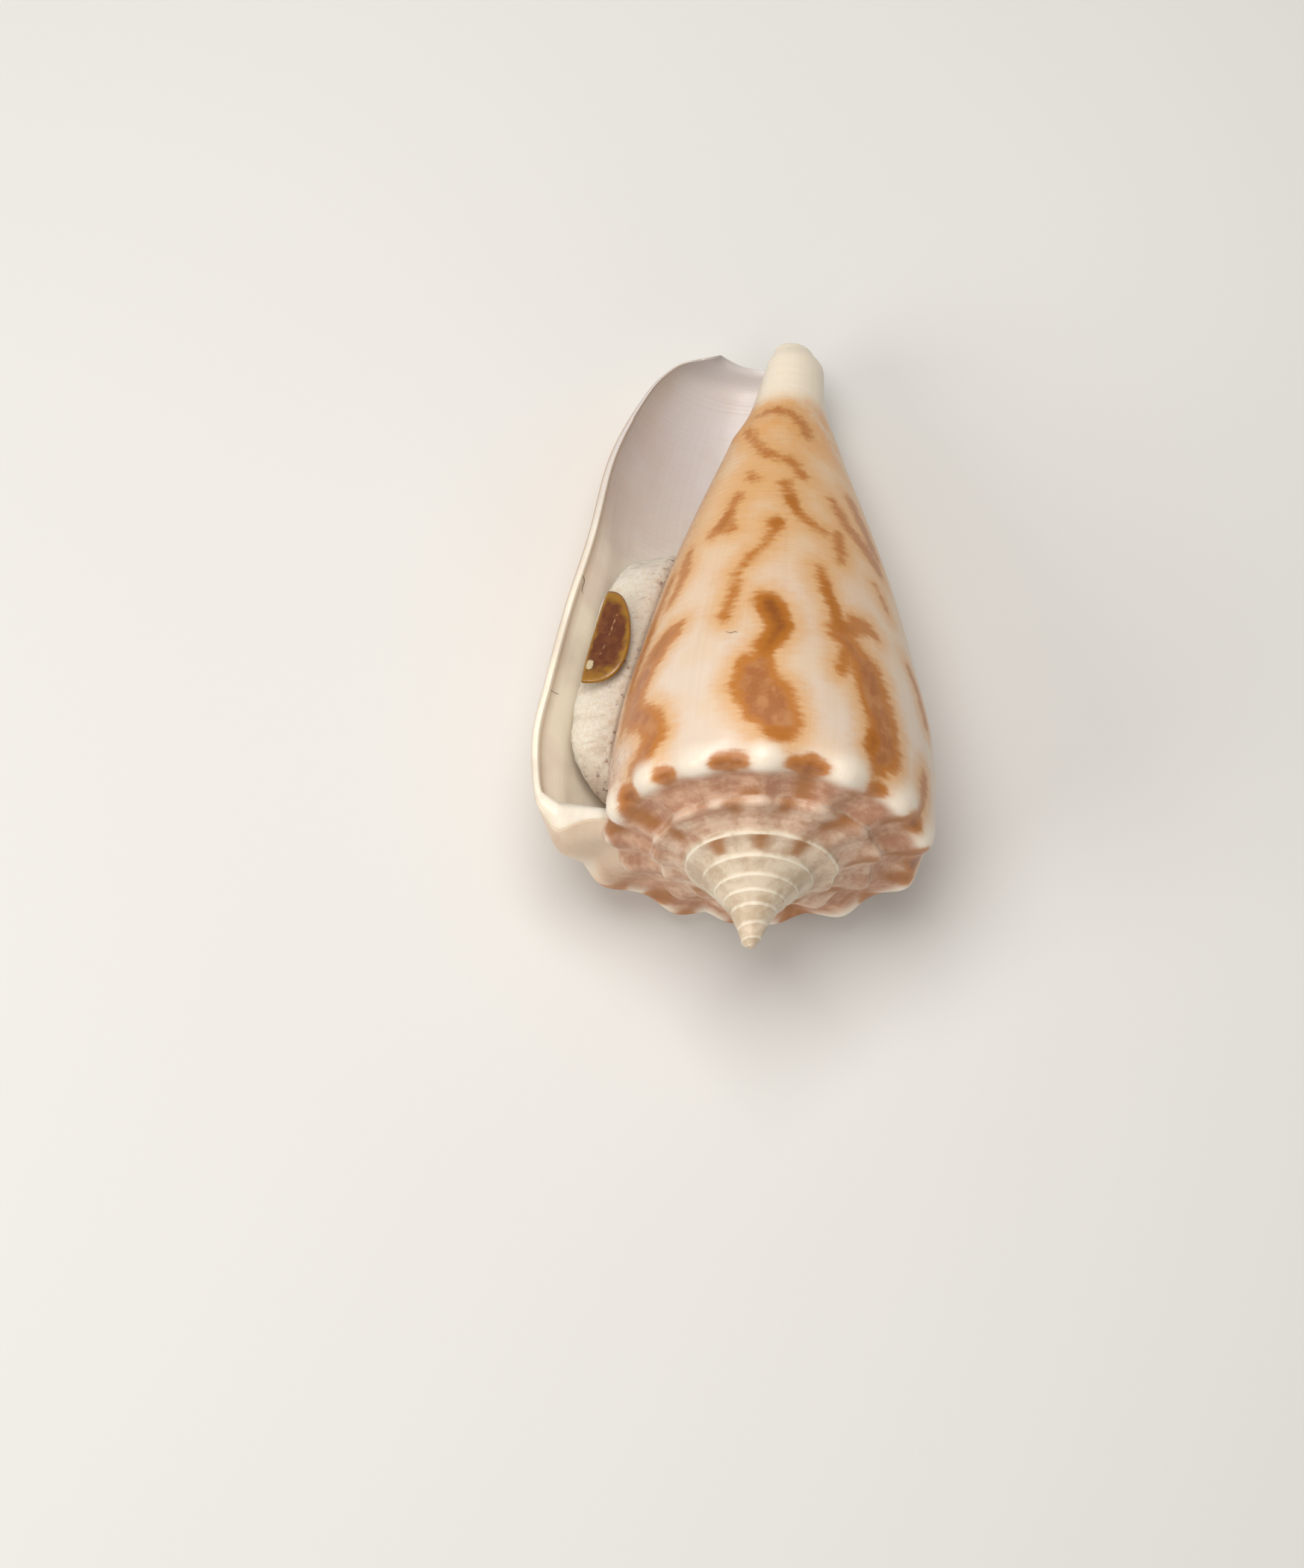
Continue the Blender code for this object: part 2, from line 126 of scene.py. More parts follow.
# Marking strokes are laid out on an unrolled strip: mm of the side and of the ramp above it
SIDE_MM = LENGTH - 6.0
RAMP_MM = 2.2
FAR_MM = 9.0  # where no stroke is near
STROKE_BLEND_MM = 0.25
# Flame pattern on the side of the last whorl, and one stroke of painted shade: strokes of (turns behind the
# lip, share, half width in mm)
FLAME_AND_SHADE_STROKES = [
    [(0.778, 0.655, 0.3), (0.768, 0.668, 0.45), (0.758, 0.69, 0.55), (0.752, 0.72, 0.5), (0.76, 0.75, 0.45),
     (0.768, 0.775, 0.5), (0.77, 0.795, 0.6), (0.776, 0.82, 0.95), (0.774, 0.85, 1.15), (0.763, 0.88, 1.3),
     (0.752, 0.91, 1.1), (0.748, 0.93, 0.8), (0.75, 0.943, 0.5)],
    [(0.763, 0.475, 0.33), (0.768, 0.51, 0.14), (0.778, 0.53, 0.16), (0.79, 0.552, 0.12), (0.8, 0.572, 0.12),
     (0.808, 0.6, 0.2), (0.807, 0.63, 0.18), (0.812, 0.665, 0.2), (0.815, 0.69, 0.27), (0.813, 0.705, 0.18)],
    [(0.82, 0.34, 0.2), (0.812, 0.35, 0.2), (0.8, 0.357, 0.13)],
    [(0.832, 0.395, 0.18), (0.836, 0.42, 0.24), (0.84, 0.445, 0.24), (0.845, 0.465, 0.28),
     (0.858, 0.48, 0.22)],
    [(0.835, 0.46, 0.18), (0.826, 0.48, 0.18)],
    [(0.75, 0.37, 0.24), (0.745, 0.395, 0.3), (0.738, 0.425, 0.28), (0.728, 0.445, 0.22),
     (0.712, 0.465, 0.18), (0.695, 0.478, 0.15)],
    [(0.87, 0.21, 0.2), (0.85, 0.225, 0.22), (0.825, 0.25, 0.2), (0.805, 0.275, 0.18), (0.785, 0.29, 0.2),
     (0.765, 0.3, 0.16), (0.74, 0.305, 0.18), (0.722, 0.33, 0.22), (0.716, 0.345, 0.18)],
    [(0.86, 0.172, 0.12), (0.8, 0.165, 0.16), (0.745, 0.17, 0.24), (0.715, 0.185, 0.26), (0.695, 0.205, 0.26),
     (0.69, 0.225, 0.2)],
    [(0.668, 0.475, 0.2), (0.67, 0.505, 0.24), (0.675, 0.54, 0.14)],
    [(0.705, 0.575, 0.22), (0.702, 0.6, 0.26), (0.697, 0.635, 0.2), (0.693, 0.665, 0.22), (0.69, 0.69, 0.3),
     (0.69, 0.715, 0.5), (0.68, 0.7, 0.6), (0.665, 0.682, 0.5), (0.65, 0.675, 0.36), (0.64, 0.687, 0.2)],
    [(0.685, 0.725, 0.5), (0.674, 0.745, 0.65), (0.662, 0.77, 0.75), (0.657, 0.8, 0.9), (0.652, 0.835, 1.0),
     (0.645, 0.87, 0.9), (0.641, 0.9, 0.95), (0.641, 0.93, 1.05), (0.645, 0.95, 0.7)],
    [(0.685, 0.76, 0.28), (0.689, 0.785, 0.26), (0.69, 0.805, 0.12)],
    [(0.872, 0.69, 0.25), (0.885, 0.702, 0.55), (0.897, 0.72, 0.7), (0.905, 0.745, 0.75), (0.913, 0.77, 0.75),
     (0.92, 0.8, 0.75), (0.926, 0.83, 0.75), (0.918, 0.855, 0.7), (0.9, 0.87, 0.7), (0.885, 0.895, 0.75),
     (0.88, 0.915, 0.65), (0.888, 0.935, 0.6), (0.897, 0.955, 0.5), (0.912, 0.965, 0.45)],
    [(0.9, 0.5, 0.22), (0.898, 0.53, 0.28), (0.895, 0.56, 0.26), (0.9, 0.59, 0.22), (0.908, 0.62, 0.14)],
    [(0.93, 0.55, 0.3), (0.94, 0.65, 0.35), (0.945, 0.75, 0.4), (0.945, 0.85, 0.4)],
    [(0.665, 0.385, 0.22), (0.655, 0.415, 0.32), (0.645, 0.44, 0.36), (0.63, 0.46, 0.45), (0.61, 0.48, 0.45),
     (0.595, 0.5, 0.45)],
    [(0.61, 0.36, 0.35), (0.595, 0.41, 0.4), (0.585, 0.46, 0.4)],
    [(0.615, 0.555, 0.1), (0.608, 0.58, 0.15), (0.6, 0.6, 0.1)],
    [(0.575, 0.92, 0.4), (0.572, 0.95, 0.5), (0.57, 0.985, 0.4)],
    # Painted shade, coloured as a flame: the side darkens here where it turns away from the light
    [(0.58, 0.7, 0.3), (0.57, 0.74, 0.4), (0.56, 0.79, 0.4)],
]
# Darker accents inside the flames
DARKS = [
    [(0.766, 0.668, 0.5), (0.76, 0.69, 0.5), (0.752, 0.72, 0.45), (0.76, 0.75, 0.3), (0.768, 0.78, 0.25)],
    [(0.655, 0.915, 0.3), (0.658, 0.935, 0.25)],
    [(0.763, 0.475, 0.18)],
    [(0.84, 0.44, 0.1), (0.845, 0.463, 0.15)],
    [(0.742, 0.405, 0.18), (0.733, 0.435, 0.12)],
    [(0.894, 0.7, 0.2), (0.905, 0.74, 0.2)],
    [(0.686, 0.7, 0.2), (0.7, 0.6, 0.1)],
    [(0.758, 0.94, 0.12), (0.745, 0.945, 0.15)],
]
# Brown spots between the knobs: turns behind the lip, stretch in turns to each side, half width in mm
SHOULDER_SPOTS = [
    (0.059, 0.004, 0.3), (0.132, 0.004, 0.35), (0.204, 0.004, 0.35), (0.253, 0.003, 0.3), (0.311, 0.006, 0.4),
    (0.393, 0.006, 0.4), (0.48, 0.01, 0.45), (0.56, 0.006, 0.38), (0.637, 0.004, 0.3), (0.719, 0.013, 0.38),
    (0.797, 0.01, 0.36), (0.871, 0.002, 0.34), (0.933, 0.006, 0.42), (1.0, 0.004, 0.4),
]
# Dark rays on the ramps of the spire: strokes of (turns behind the lip, row, half width in mm)
RAYS = [
    [(0.717, 1.0, 0.6), (0.715, 0.8, 0.45), (0.712, 0.5, 0.35), (0.708, 0.2, 0.35), (0.705, 0.0, 0.35)],
    [(0.785, 0.05, 0.25), (0.77, 0.05, 0.25)],
    [(0.95, 0.85, 0.35), (0.955, 0.5, 0.45), (0.95, 0.2, 0.35)],
    [(0.58, 0.9, 0.4), (0.585, 0.5, 0.35)],
    [(0.51, 0.9, 0.5), (0.505, 0.5, 0.45), (0.51, 0.2, 0.3)],
    [(0.455, 0.9, 0.4), (0.45, 0.5, 0.35)],
    [(0.17, 0.9, 0.45), (0.175, 0.4, 0.4)],
    [(0.3, 0.95, 0.4), (0.305, 0.5, 0.3)],
    [(1.63, 0.98, 0.3), (1.64, 0.5, 0.35)],
    [(1.52, 0.8, 0.35), (1.51, 0.3, 0.35)],
    [(1.8, 0.98, 0.32), (1.8, 0.7, 0.28)],
    [(1.93, 0.98, 0.32), (1.935, 0.5, 0.3)],
    [(1.72, 1.0, 0.28), (1.725, 0.75, 0.3)],
    [(1.4, 0.8, 0.35), (1.39, 0.4, 0.3)],
    [(1.2, 0.8, 0.35), (1.21, 0.4, 0.3)],
    [(2.86, 0.85, 0.45), (2.865, 0.3, 0.4)],
    [(2.755, 0.85, 0.36), (2.755, 0.3, 0.32)],
    [(2.66, 0.85, 0.46), (2.655, 0.3, 0.36)],
    [(2.35, 0.7, 0.3), (2.34, 0.4, 0.2)],
    [(2.15, 0.7, 0.3), (2.16, 0.4, 0.2)],
]
BACK_FLAMES = 0.47  # the hidden side repeats the flames this many turns nearer the lip
SPIRAL_LINES = 5.0  # on each ramp

# Plug of cotton wool: its depth in turns, its shares of the height, and its distance from the walls
PLUG_DEPTH = (-0.24, -0.02)
PLUG_HEIGHT = (0.375, 0.885)
PLUG_CLEARANCE = 0.27
PLUG_SQUARENESS = 0.25
PLUG_ROUNDING = 5
PLUG_SIDES = 180
PLUG_RINGS = 220
# Crumbs on its surface: lumps per mm, seed, height in mm
LUMPS = (0.9, 1, 0.1)
GRAINS = (3.2, 2, 0.08)
END_RAGGEDNESS = 1.5
SEED_STEP = 37.0
FRACTAL = (0.8, 2.1, 4)  # increment, lacunarity, octaves

# Operculum: a flat horny crescent
OPERCULUM_LENGTH = 5.0
OPERCULUM_WIDTH = 2.1
OPERCULUM_THICKNESS = 0.35
OPERCULUM_TURN = -0.005
OPERCULUM_HEIGHT_SHARE = 0.61
OPERCULUM_GAP_SHARE = 0.62
OPERCULUM_RINGS, OPERCULUM_SIDES = 16, 96
OPERCULUM_OUTER, OPERCULUM_INNER = 0.8, 0.1  # bulges of its edges, as shares of the width
OPERCULUM_CENTRE = 0.3  # the middle of its rings, as a share of the width
OPERCULUM_DISH = 0.12
OPERCULUM_UNDERSIDE = 0.8  # depth of the underside over the height of the top

# Loose fibres: pixels of the photograph that each one passes through
LINT = [
    [(780, 770), (782, 775), (782, 780), (780, 785), (779, 790), (780, 795)],
    [(732, 921), (738, 925), (743, 928), (748, 930)],
    [(972, 846), (978, 848), (984, 846), (988, 847)],
]
LINT_RADIUS = 0.015
LINT_SIDES = 8
LINT_END = 0.35  # radius of its ends over its radius

# Camera, in millimetres and photograph pixels
IMAGE_WIDTH, IMAGE_HEIGHT = 1746, 2100
VIEW_ANGLE = 29.0
LEAN_ANGLE = 4.05
VIEW_DISTANCE = 200.0
PIXELS_PER_MM = 30.3
APEX_PIXEL = (1004, 1271)
SENSOR_WIDTH = 36.0
CLIP_METRES = (0.01, 20.0)

# Lights: name, place and target in mm, size in mm, watts, colour
LIGHTS = [
    ("key", (-20, 20, 160), (0, 0, 8), 90, 0.178, (1.0, 0.97, 0.93)),
    ("fill", (-120, -60, 100), (0, 0, 8), 100, 0.09, (1.0, 0.98, 0.96)),
    ("front", (20, -170, 60), (0, -8, 8), 90, 0.045, (1.0, 0.96, 0.92)),
]
FLOOR_HALF_METRES = 2
WORLD_COLOUR, WORLD_STRENGTH = (1.0, 0.98, 0.96, 1.0), 0.27


def curve_through(points):
    """Monotone cubic through the points, as a function."""
    x, y = np.array(points, float).T
    width = np.diff(x)
    slope = np.diff(y) / width
    tangent = np.zeros_like(x)
    tangent[0], tangent[-1] = slope[0], slope[-1]
    for i in range(1, len(x) - 1):
        if slope[i - 1] * slope[i] > 0:
            before = 2 * width[i] + width[i - 1]
            after = width[i] + 2 * width[i - 1]
            tangent[i] = (before + after) / (before / slope[i - 1] + after / slope[i])

    def value(q):
        q = np.clip(np.asarray(q, float), x[0], x[-1])
        i = np.clip(np.searchsorted(x, q, side="right") - 1, 0, len(width) - 1)
        s = (q - x[i]) / width[i]
        ends = y[i] * (1 + 2 * s) * (1 - s) ** 2 + y[i + 1] * s * s * (3 - 2 * s)
        bends = tangent[i] * s * (1 - s) ** 2 + tangent[i + 1] * s * s * (s - 1)
        return ends + width[i] * bends

    return value


def ease(start, end, x):
    """Smooth step from 0 at start to 1 at end."""
    s = np.clip((np.asarray(x, float) - start) / (end - start), 0, 1)
    return s * s * (3 - 2 * s)


log_radius = curve_through([(turn, math.log(radius)) for turn, radius, depth in SHOULDER])
shoulder_depth = curve_through([(turn, depth) for turn, radius, depth in SHOULDER])
body_side = curve_through(BODY_SIDE)
lip_side = curve_through(LIP_SIDE)
parietal_side = curve_through(PARIETAL_SIDE)
suture_step = curve_through(SUTURE_STEP)


def shoulder_height(turn):
    return LENGTH - shoulder_depth(turn)


def base_height(turn):
    """Height of the front margin; it is rounded off where it meets the lip."""
    corner = np.clip(1 + np.asarray(turn, float) / CORNER_TURNS, 0, 1)
    lift = CORNER_LIFT * (1 - np.sqrt(1 - corner ** 2))
    return BASE_HEIGHT - LIP_BASE_DROP * ease(*BASE_TO_LIP, turn) + lift


def place(turn, radius, height):
    """Point in the shell's axes."""
    angle = math.radians(LIP_ANGLE) - 2 * math.pi * np.asarray(turn, float)
    return np.stack(np.broadcast_arrays(radius * np.cos(angle), radius * np.sin(angle), height), -1)


def knob_share(turn, width):
    """1 on the middle of a knob, 0 between knobs."""
    turn = np.asarray(turn, float)
    last_whorl = turn - np.floor(turn + 1)
    distance = np.min(np.abs(last_whorl[..., None] - np.array(TUBERCLES)), axis=-1)
    return np.exp(-((distance / width) ** 2))


def tubercle(turn):
    """Rise of the shoulder: knobs with shallow dips between them."""
    return TUBERCLE_HEIGHT * ease(*TUBERCLES_GROW, turn) * (knob_share(turn, TUBERCLE_WIDTH) - TUBERCLE_DIP)


def side(turn, row, knobs=True):
    """Radius and height on a whorl's side, where row runs from 1 at the shoulder to 2 at the base."""
    share = np.clip(2 - row, 0, 1)
    lip_start, lip_end = BODY_TO_LIP
    to_lip = ease(lip_start + LIP_FRONT_REACH * np.clip(1 - share / LIP_FRONT_SHARE, 0, 1), lip_end, turn)
    to_parietal = ease(*BODY_TO_PARIETAL, turn)
    narrowing = TIP_NARROWING * np.clip(1 - share / TIP_SHARE, 0, 1) * ease(*BODY_TO_TIP, turn)
    factor = body_side(share) * (1 - narrowing) * (1 - to_lip) + lip_side(share) * to_lip
    factor = factor * (1 - to_parietal) + parietal_side(share) * to_parietal
    rise = tubercle(turn) * np.exp(-(((row - 1) / TUBERCLE_REACH) ** 2)) * knobs
    low = base_height(turn)
    height = low + (shoulder_height(turn) - low) * share
    radius = np.exp(log_radius(turn)) * factor
    return radius + TUBERCLE_OUTWARD * rise, height + TUBERCLE_UPWARD * rise


def suture_row(turn):
    """Row of a whorl's side where the next whorl joins on."""
    return 1 + suture_step(turn) / (shoulder_height(turn) - base_height(turn))


def ramp(turn, row, knobs=True):
    """Radius and height between the suture (row 0) and the shoulder (row 1)."""
    inner_radius, inner_height = side(turn - 1, suture_row(turn - 1), knobs)
    outer_radius, outer_height = side(turn, np.ones_like(row), knobs)
    sag = RAMP_SAG * (outer_radius - inner_radius) * np.sin(math.pi * row)
    radius = inner_radius + (outer_radius - inner_radius) * row
    return radius, inner_height + (outer_height - inner_height) * row - sag


def outer(turn, row, knobs=True):
    """Radius and height of the outer surface, with the shoulder's corner rounded off."""
    turn, row = np.broadcast_arrays(np.asarray(turn, float), np.asarray(row, float))
    below = np.where(turn > -1, ROUNDING_SIDE, ROUNDING_STEP * (suture_row(turn) - 1))
    start, end = 1 - ROUNDING_RAMP, 1 + below
    on_ramp = ramp(turn, np.minimum(row, 1), knobs)
    on_side = side(turn, np.maximum(row, 1), knobs)
    share = np.where(row < 1, (row - start) / ROUNDING_RAMP, 1 + (row - 1) / below) / 2
    share = np.clip(share, 0, 1)
    first, last = ramp(turn, start + 0 * row, knobs), side(turn, end, knobs)
    middle = side(turn, 1 + 0 * row, knobs)
    rounded = [(1 - share) ** 2 * a + 2 * share * (1 - share) * b + share ** 2 * c
               for a, b, c in zip(first, middle, last)]
    near = (row > start) & (row < end)
    return [np.where(near, r, np.where(row < 1, a, b)) for r, a, b in zip(rounded, on_ramp, on_side)]


def lag(turn, row):
    """How far a point of the last turns lags behind its turn, in turns."""
    share = np.clip(2 - row, 0, 1)
    on_ramp = LAG_SHOULDER * np.clip(row, 0, 1) ** 0.8
    corner = CORNER_LAG * np.clip(1 - share / CORNER_SHARE, 0, 1) ** 2
    on_side = LAG_SIDE + (LAG_SHOULDER - LAG_SIDE) * np.clip(2 * share - 1, 0, 1) ** 2 + corner
    return np.where(row < 1, on_ramp, on_side) * ease(LAG_START, 0.0, turn)


def outer_point(turn, row):
    return place(turn - lag(turn, row), *outer(turn, row))


def inner_point(turn, row):
    """Inside of the last whorl's wall, set in from the outer surface along its normal."""
    step = 1e-3
    radius_a, height_a = outer(turn, row - step, knobs=False)
    radius_b, height_b = outer(turn, row + step, knobs=False)
    across, down = radius_b - radius_a, height_b - height_a
    length = np.hypot(across, down)
    share = np.clip(2 - row, 0, 1)
    wall = LIP_THICKNESS + (WALL_THICKNESS - LIP_THICKNESS) * ease(0.0, -WALL_TURNS, turn)
    wall = wall * (BASE_THINNING + (1 - BASE_THINNING) * ease(0.0, THINNING_SHARE, share))
    bevel = ease(*BEVEL_START, share) * (1 - ease(*BEVEL_END, share))
    wall = wall + LIP_BEVEL * ease(0.0, -BEVEL_TURNS, turn) * bevel
    radius, height = outer(turn, row, knobs=False)
    height = height - across / length * wall * (row < CANAL_MARGIN_ROW)
    height = height - LIP_SHOULDER_EXTRA * ease(-EXTRA_TURNS, 0.0, turn) * ease(*EXTRA_START, share)
    return place(turn - lag(turn, row), radius + down / length * wall, height)


def parietal_point(turn, row):
    """The whorl before, which is the other wall of the aperture."""
    return place(turn - 1, *side(turn - 1, row, knobs=False))


def lie_down(points):
    """Turn shell axes into the resting pose, in millimetres of the frame."""
    lie = math.radians(LIE_ANGLE)
    x, y, height = np.moveaxis(np.asarray(points, float), -1, 0)
    back = y * math.sin(lie) - height * math.cos(lie)
    up = y * math.cos(lie) + height * math.sin(lie)
    return np.stack([x, back, up], -1) + SHIFT


def row_positions(turn):
    """Rows of the mesh columns, from the suture over the shoulder to the base."""
    suture = suture_row(turn)
    under_ramp = suture + RAMP_THICKNESS / (shoulder_height(turn) - base_height(turn))
    share = np.linspace(0, 1, SIDE_ROWS)
    share = share + ROW_CROWDING * np.sin(math.pi * share)
    on_ramp = np.arange(RAMP_ROWS) / RAMP_ROWS + 0 * turn[:, None]
    on_step = 1 + (suture - 1)[:, None] * np.arange(STEP_ROWS + 1) / STEP_ROWS
    on_side = under_ramp[:, None] + (2 - under_ramp)[:, None] * share
    return np.concatenate([on_ramp, on_step, on_side], 1)


def stroke_distance(strokes, turns, across, round_mm):
    """Distance in mm to the nearest stroke's outline, negative inside it.

    turns and across are the surface coordinates: turns behind the lip, and mm along the rows; round_mm
    is the length of one whole turn there. A stroke's second number is already in mm here.
    """
    nearest = np.full(np.shape(turns), FAR_MM)
    for stroke in strokes:
        own = np.full(np.shape(turns), FAR_MM)
        for (t0, a0, w0), (t1, a1, w1) in zip(stroke, stroke[1:] if len(stroke) > 1 else stroke):
            ux, uy = (t1 - t0) * round_mm, a1 - a0
            px, py = (turns - t0) * round_mm, across - a0
            along = np.clip((px * ux + py * uy) / np.maximum(ux * ux + uy * uy, 1e-6), 0, 1)
            own = np.minimum(own, np.hypot(px - along * ux, py - along * uy) - (w0 + (w1 - w0) * along))
        blend = np.clip(0.5 + 0.5 * (nearest - own) / STROKE_BLEND_MM, 0, 1)
        nearest = nearest * (1 - blend) + own * blend - STROKE_BLEND_MM * blend * (1 - blend)
    return nearest


def on_strip(strokes, mm_of, shift=0.0):
    """Strokes with their second number turned into mm of the strip, moved by shift turns."""
    return [[(t + shift, mm_of(q), w) for t, q, w in stroke] for stroke in strokes]


def side_mm(share):
    return share * SIDE_MM


def ramp_mm(row):
    return SIDE_MM + (1 - row) * RAMP_MM


def shoulder_spots():
    """Brown spots between the tubercles of the last whorl, over the shoulder."""
    low, high = SIDE_MM - 0.1, SIDE_MM + 0.3
    return [[(turn - stretch, low, half), (turn + stretch, low, half), (turn, high, half * 0.8)]
            for turn, stretch, half in SHOULDER_SPOTS]


def pattern(turn, row):
    """Distances to the flames, one of whose strokes is painted shade, and to the dark marks, in mm, for
    points of the outer surface.
    """
    behind = -turn
    radius = np.exp(log_radius(turn)) * np.where(row > 1, body_side(2 - row), 1.0)
    round_mm = 2 * math.pi * radius
    across = np.where(row > 1, side_mm(2 - row), ramp_mm(row))
    flames = on_strip(FLAME_AND_SHADE_STROKES, side_mm) + on_strip(FLAME_AND_SHADE_STROKES, side_mm, -BACK_FLAMES)
    darks = on_strip(DARKS, side_mm) + on_strip(DARKS, side_mm, -BACK_FLAMES) + shoulder_spots()
    flame, dark = np.full(turn.shape, FAR_MM), np.full(turn.shape, FAR_MM)
    last = (turn > -1.3) & (row > 0.3)  # the last whorl's side and the ramp's edge above it
    flame[last] = stroke_distance(flames, behind[last], across[last], round_mm[last])
    dark[last] = stroke_distance(darks, behind[last], across[last], round_mm[last])
    on_ramp = row <= 1.1
    ray = stroke_distance(on_strip(RAYS, ramp_mm), behind[on_ramp], across[on_ramp], round_mm[on_ramp])
    dark[on_ramp] = np.minimum(dark[on_ramp], ray)
    return flame, dark


class FineShell:
    """The same closed surface as the CAD shell, at a fine step: a grid of points and quads of indices."""

    def __init__(self):
        self.first = -TURNS * COLUMNS
        self.suture = RAMP_ROWS + STEP_ROWS
        self.last = self.suture + SIDE_ROWS
        self.deep = -int(CAVITY_TURNS * COLUMNS)
        columns = np.arange(self.first, 1)
        self.turn = columns / COLUMNS
        self.rows = row_positions(self.turn)
        turn = self.turn[:, None] + 0 * self.rows
        points = outer_point(turn, self.rows)
        inside = inner_point(turn[self.deep - 1:], self.rows[self.deep - 1:])
        self.width = self.rows.shape[1]
        self.count_out = points.shape[0] * self.width
        self.points = np.concatenate([points.reshape(-1, 3), inside.reshape(-1, 3), [[0, 0, LENGTH]]])
        self.apex = len(self.points) - 1
        self.coil = np.concatenate([
            np.stack([turn - lag(turn, self.rows), self.rows], -1).reshape(-1, 2),
            np.stack([turn, self.rows], -1)[self.deep - 1:].reshape(-1, 2) + [0, INSIDE_ROWS],
            [[-TURNS, 0.0]]])
        self.faces = []
        self.uvs = []
        self.ceiling()
        self.ribbon()
        self.pocket()
        self.lip_edges()
        self.tip()

    def outside(self, i, j):
        """Index of an outer point; row 0 is the suture on the whorl before. Arrays allowed."""
        i, j = np.broadcast_arrays(np.asarray(i), np.asarray(j))
        before = i - COLUMNS
        at_suture = (j == 0)
        column = np.where(at_suture, before, i)
        row = np.where(at_suture, self.suture, j)
        start = column <= self.first
        column = np.maximum(column, self.first)
        index = (column - self.first) * self.width + np.where(start, 1, row)
        return np.where(at_suture & (before < self.first), self.apex, index)

    def own(self, i, j):
        """Index of the coil coordinates of an outer grid point, as its own whorl counts them."""
        i, j = np.broadcast_arrays(np.asarray(i), np.asarray(j))
        return (np.maximum(i, self.first) - self.first) * self.width + j

    def own_inside(self, i, j):
        """The same for the inside, where from row 1 on it is the point's index too."""
        return self.count_out + (i - self.deep) * self.width + j

    def inside(self, i, j):
        """Index of an inner point; row 0 is on the wall of the whorl before. Arrays allowed."""
        i, j = np.broadcast_arrays(np.asarray(i), np.asarray(j))
        return np.where(j == 0, self.outside(i - COLUMNS, self.suture + 1), self.own_inside(i, j))

    def ceiling(self):
        """Ceiling of the cavity, from the wall of the whorl before to the inside of the shoulder."""
        i = np.arange(self.deep, 1)
        low = self.points[self.outside(i - COLUMNS, self.suture + 1)]
        high = self.points[self.inside(i, RAMP_ROWS + 1)]
        for j in range(1, RAMP_ROWS + 1):
            self.points[self.inside(i, j)] = low + (high - low) * j / (RAMP_ROWS + 1)

    def add_faces(self, corners, coils):
        """Add quads from four arrays of point indices and four of coil coordinates."""
        self.faces.append(np.stack(np.broadcast_arrays(*corners), -1).reshape(-1, 4))
        self.uvs.append(self.coil[np.stack(np.broadcast_arrays(*coils), -1).reshape(-1, 4)])

    def grid(self, columns, rows, index, coil, flip=False):
        """Add a grid of quads, whose indices come from the functions index and coil."""
        i, j = np.meshgrid(columns, rows, indexing="ij")
        steps = [(0, 0), (1, 0), (1, 1), (0, 1)]
        if flip:
            steps = steps[::-1]
        self.add_faces([index(i + a, j + b) for a, b in steps], [coil(i + a, j + b) for a, b in steps])

    def ribbon(self):
        """Outer surface: ramps and steps of the spire, and the last whorl down to the base."""
        spire = np.arange(self.first, -COLUMNS)
        self.grid(spire, np.arange(self.suture), self.outside, self.own)
        self.grid(np.arange(-COLUMNS, 0), np.arange(self.last), self.outside, self.own)

    def pocket(self):
        """Both walls of the aperture and the wall that ends it."""
        wall_rows = np.arange(self.suture + 1, self.last)
        self.grid(np.arange(self.deep - COLUMNS, -COLUMNS), wall_rows, self.outside, self.own)
        self.grid(np.arange(self.deep, 0), np.arange(self.last), self.inside, self.own_inside, flip=True)
        deep, wall = self.deep, self.deep - COLUMNS
        j = np.arange(1, self.suture + 1)
        corners = [self.outside(wall, self.suture + 1), self.inside(deep, j + 1), self.inside(deep, j)]
        self.add_faces(corners + corners[2:], [self.own_inside(deep, j)] * 4)
        j = wall_rows
        self.add_faces([self.inside(deep, j), self.outside(wall, j), self.outside(wall, j + 1),
                        self.inside(deep, j + 1)], [self.own_inside(deep, j)] * 4)

    def new_points(self, points, coils):
        """Add points and give back their indices."""
        start = len(self.points)
        self.points = np.concatenate([self.points, points])
        self.coil = np.concatenate([self.coil, coils])
        return start + np.arange(len(points))

    def rounded(self, out, inn, bulge):
        """Rows of points on a half round from the outer to the inner wall."""
        a, b = self.points[out], self.points[inn]
        reach = np.minimum(0.5 * np.linalg.norm(a - b, axis=-1, keepdims=True), LIP_EDGE_BULGE)
        rings = [out]
        for step in range(1, EDGE_ROWS):
            angle = math.pi * step / EDGE_ROWS
            point = (a + b) / 2 + (a - b) / 2 * math.cos(angle) + reach * math.sin(angle) * bulge
            rings.append(self.new_points(point, self.coil[out] + [0, INSIDE_ROWS]))
        return rings + [inn]

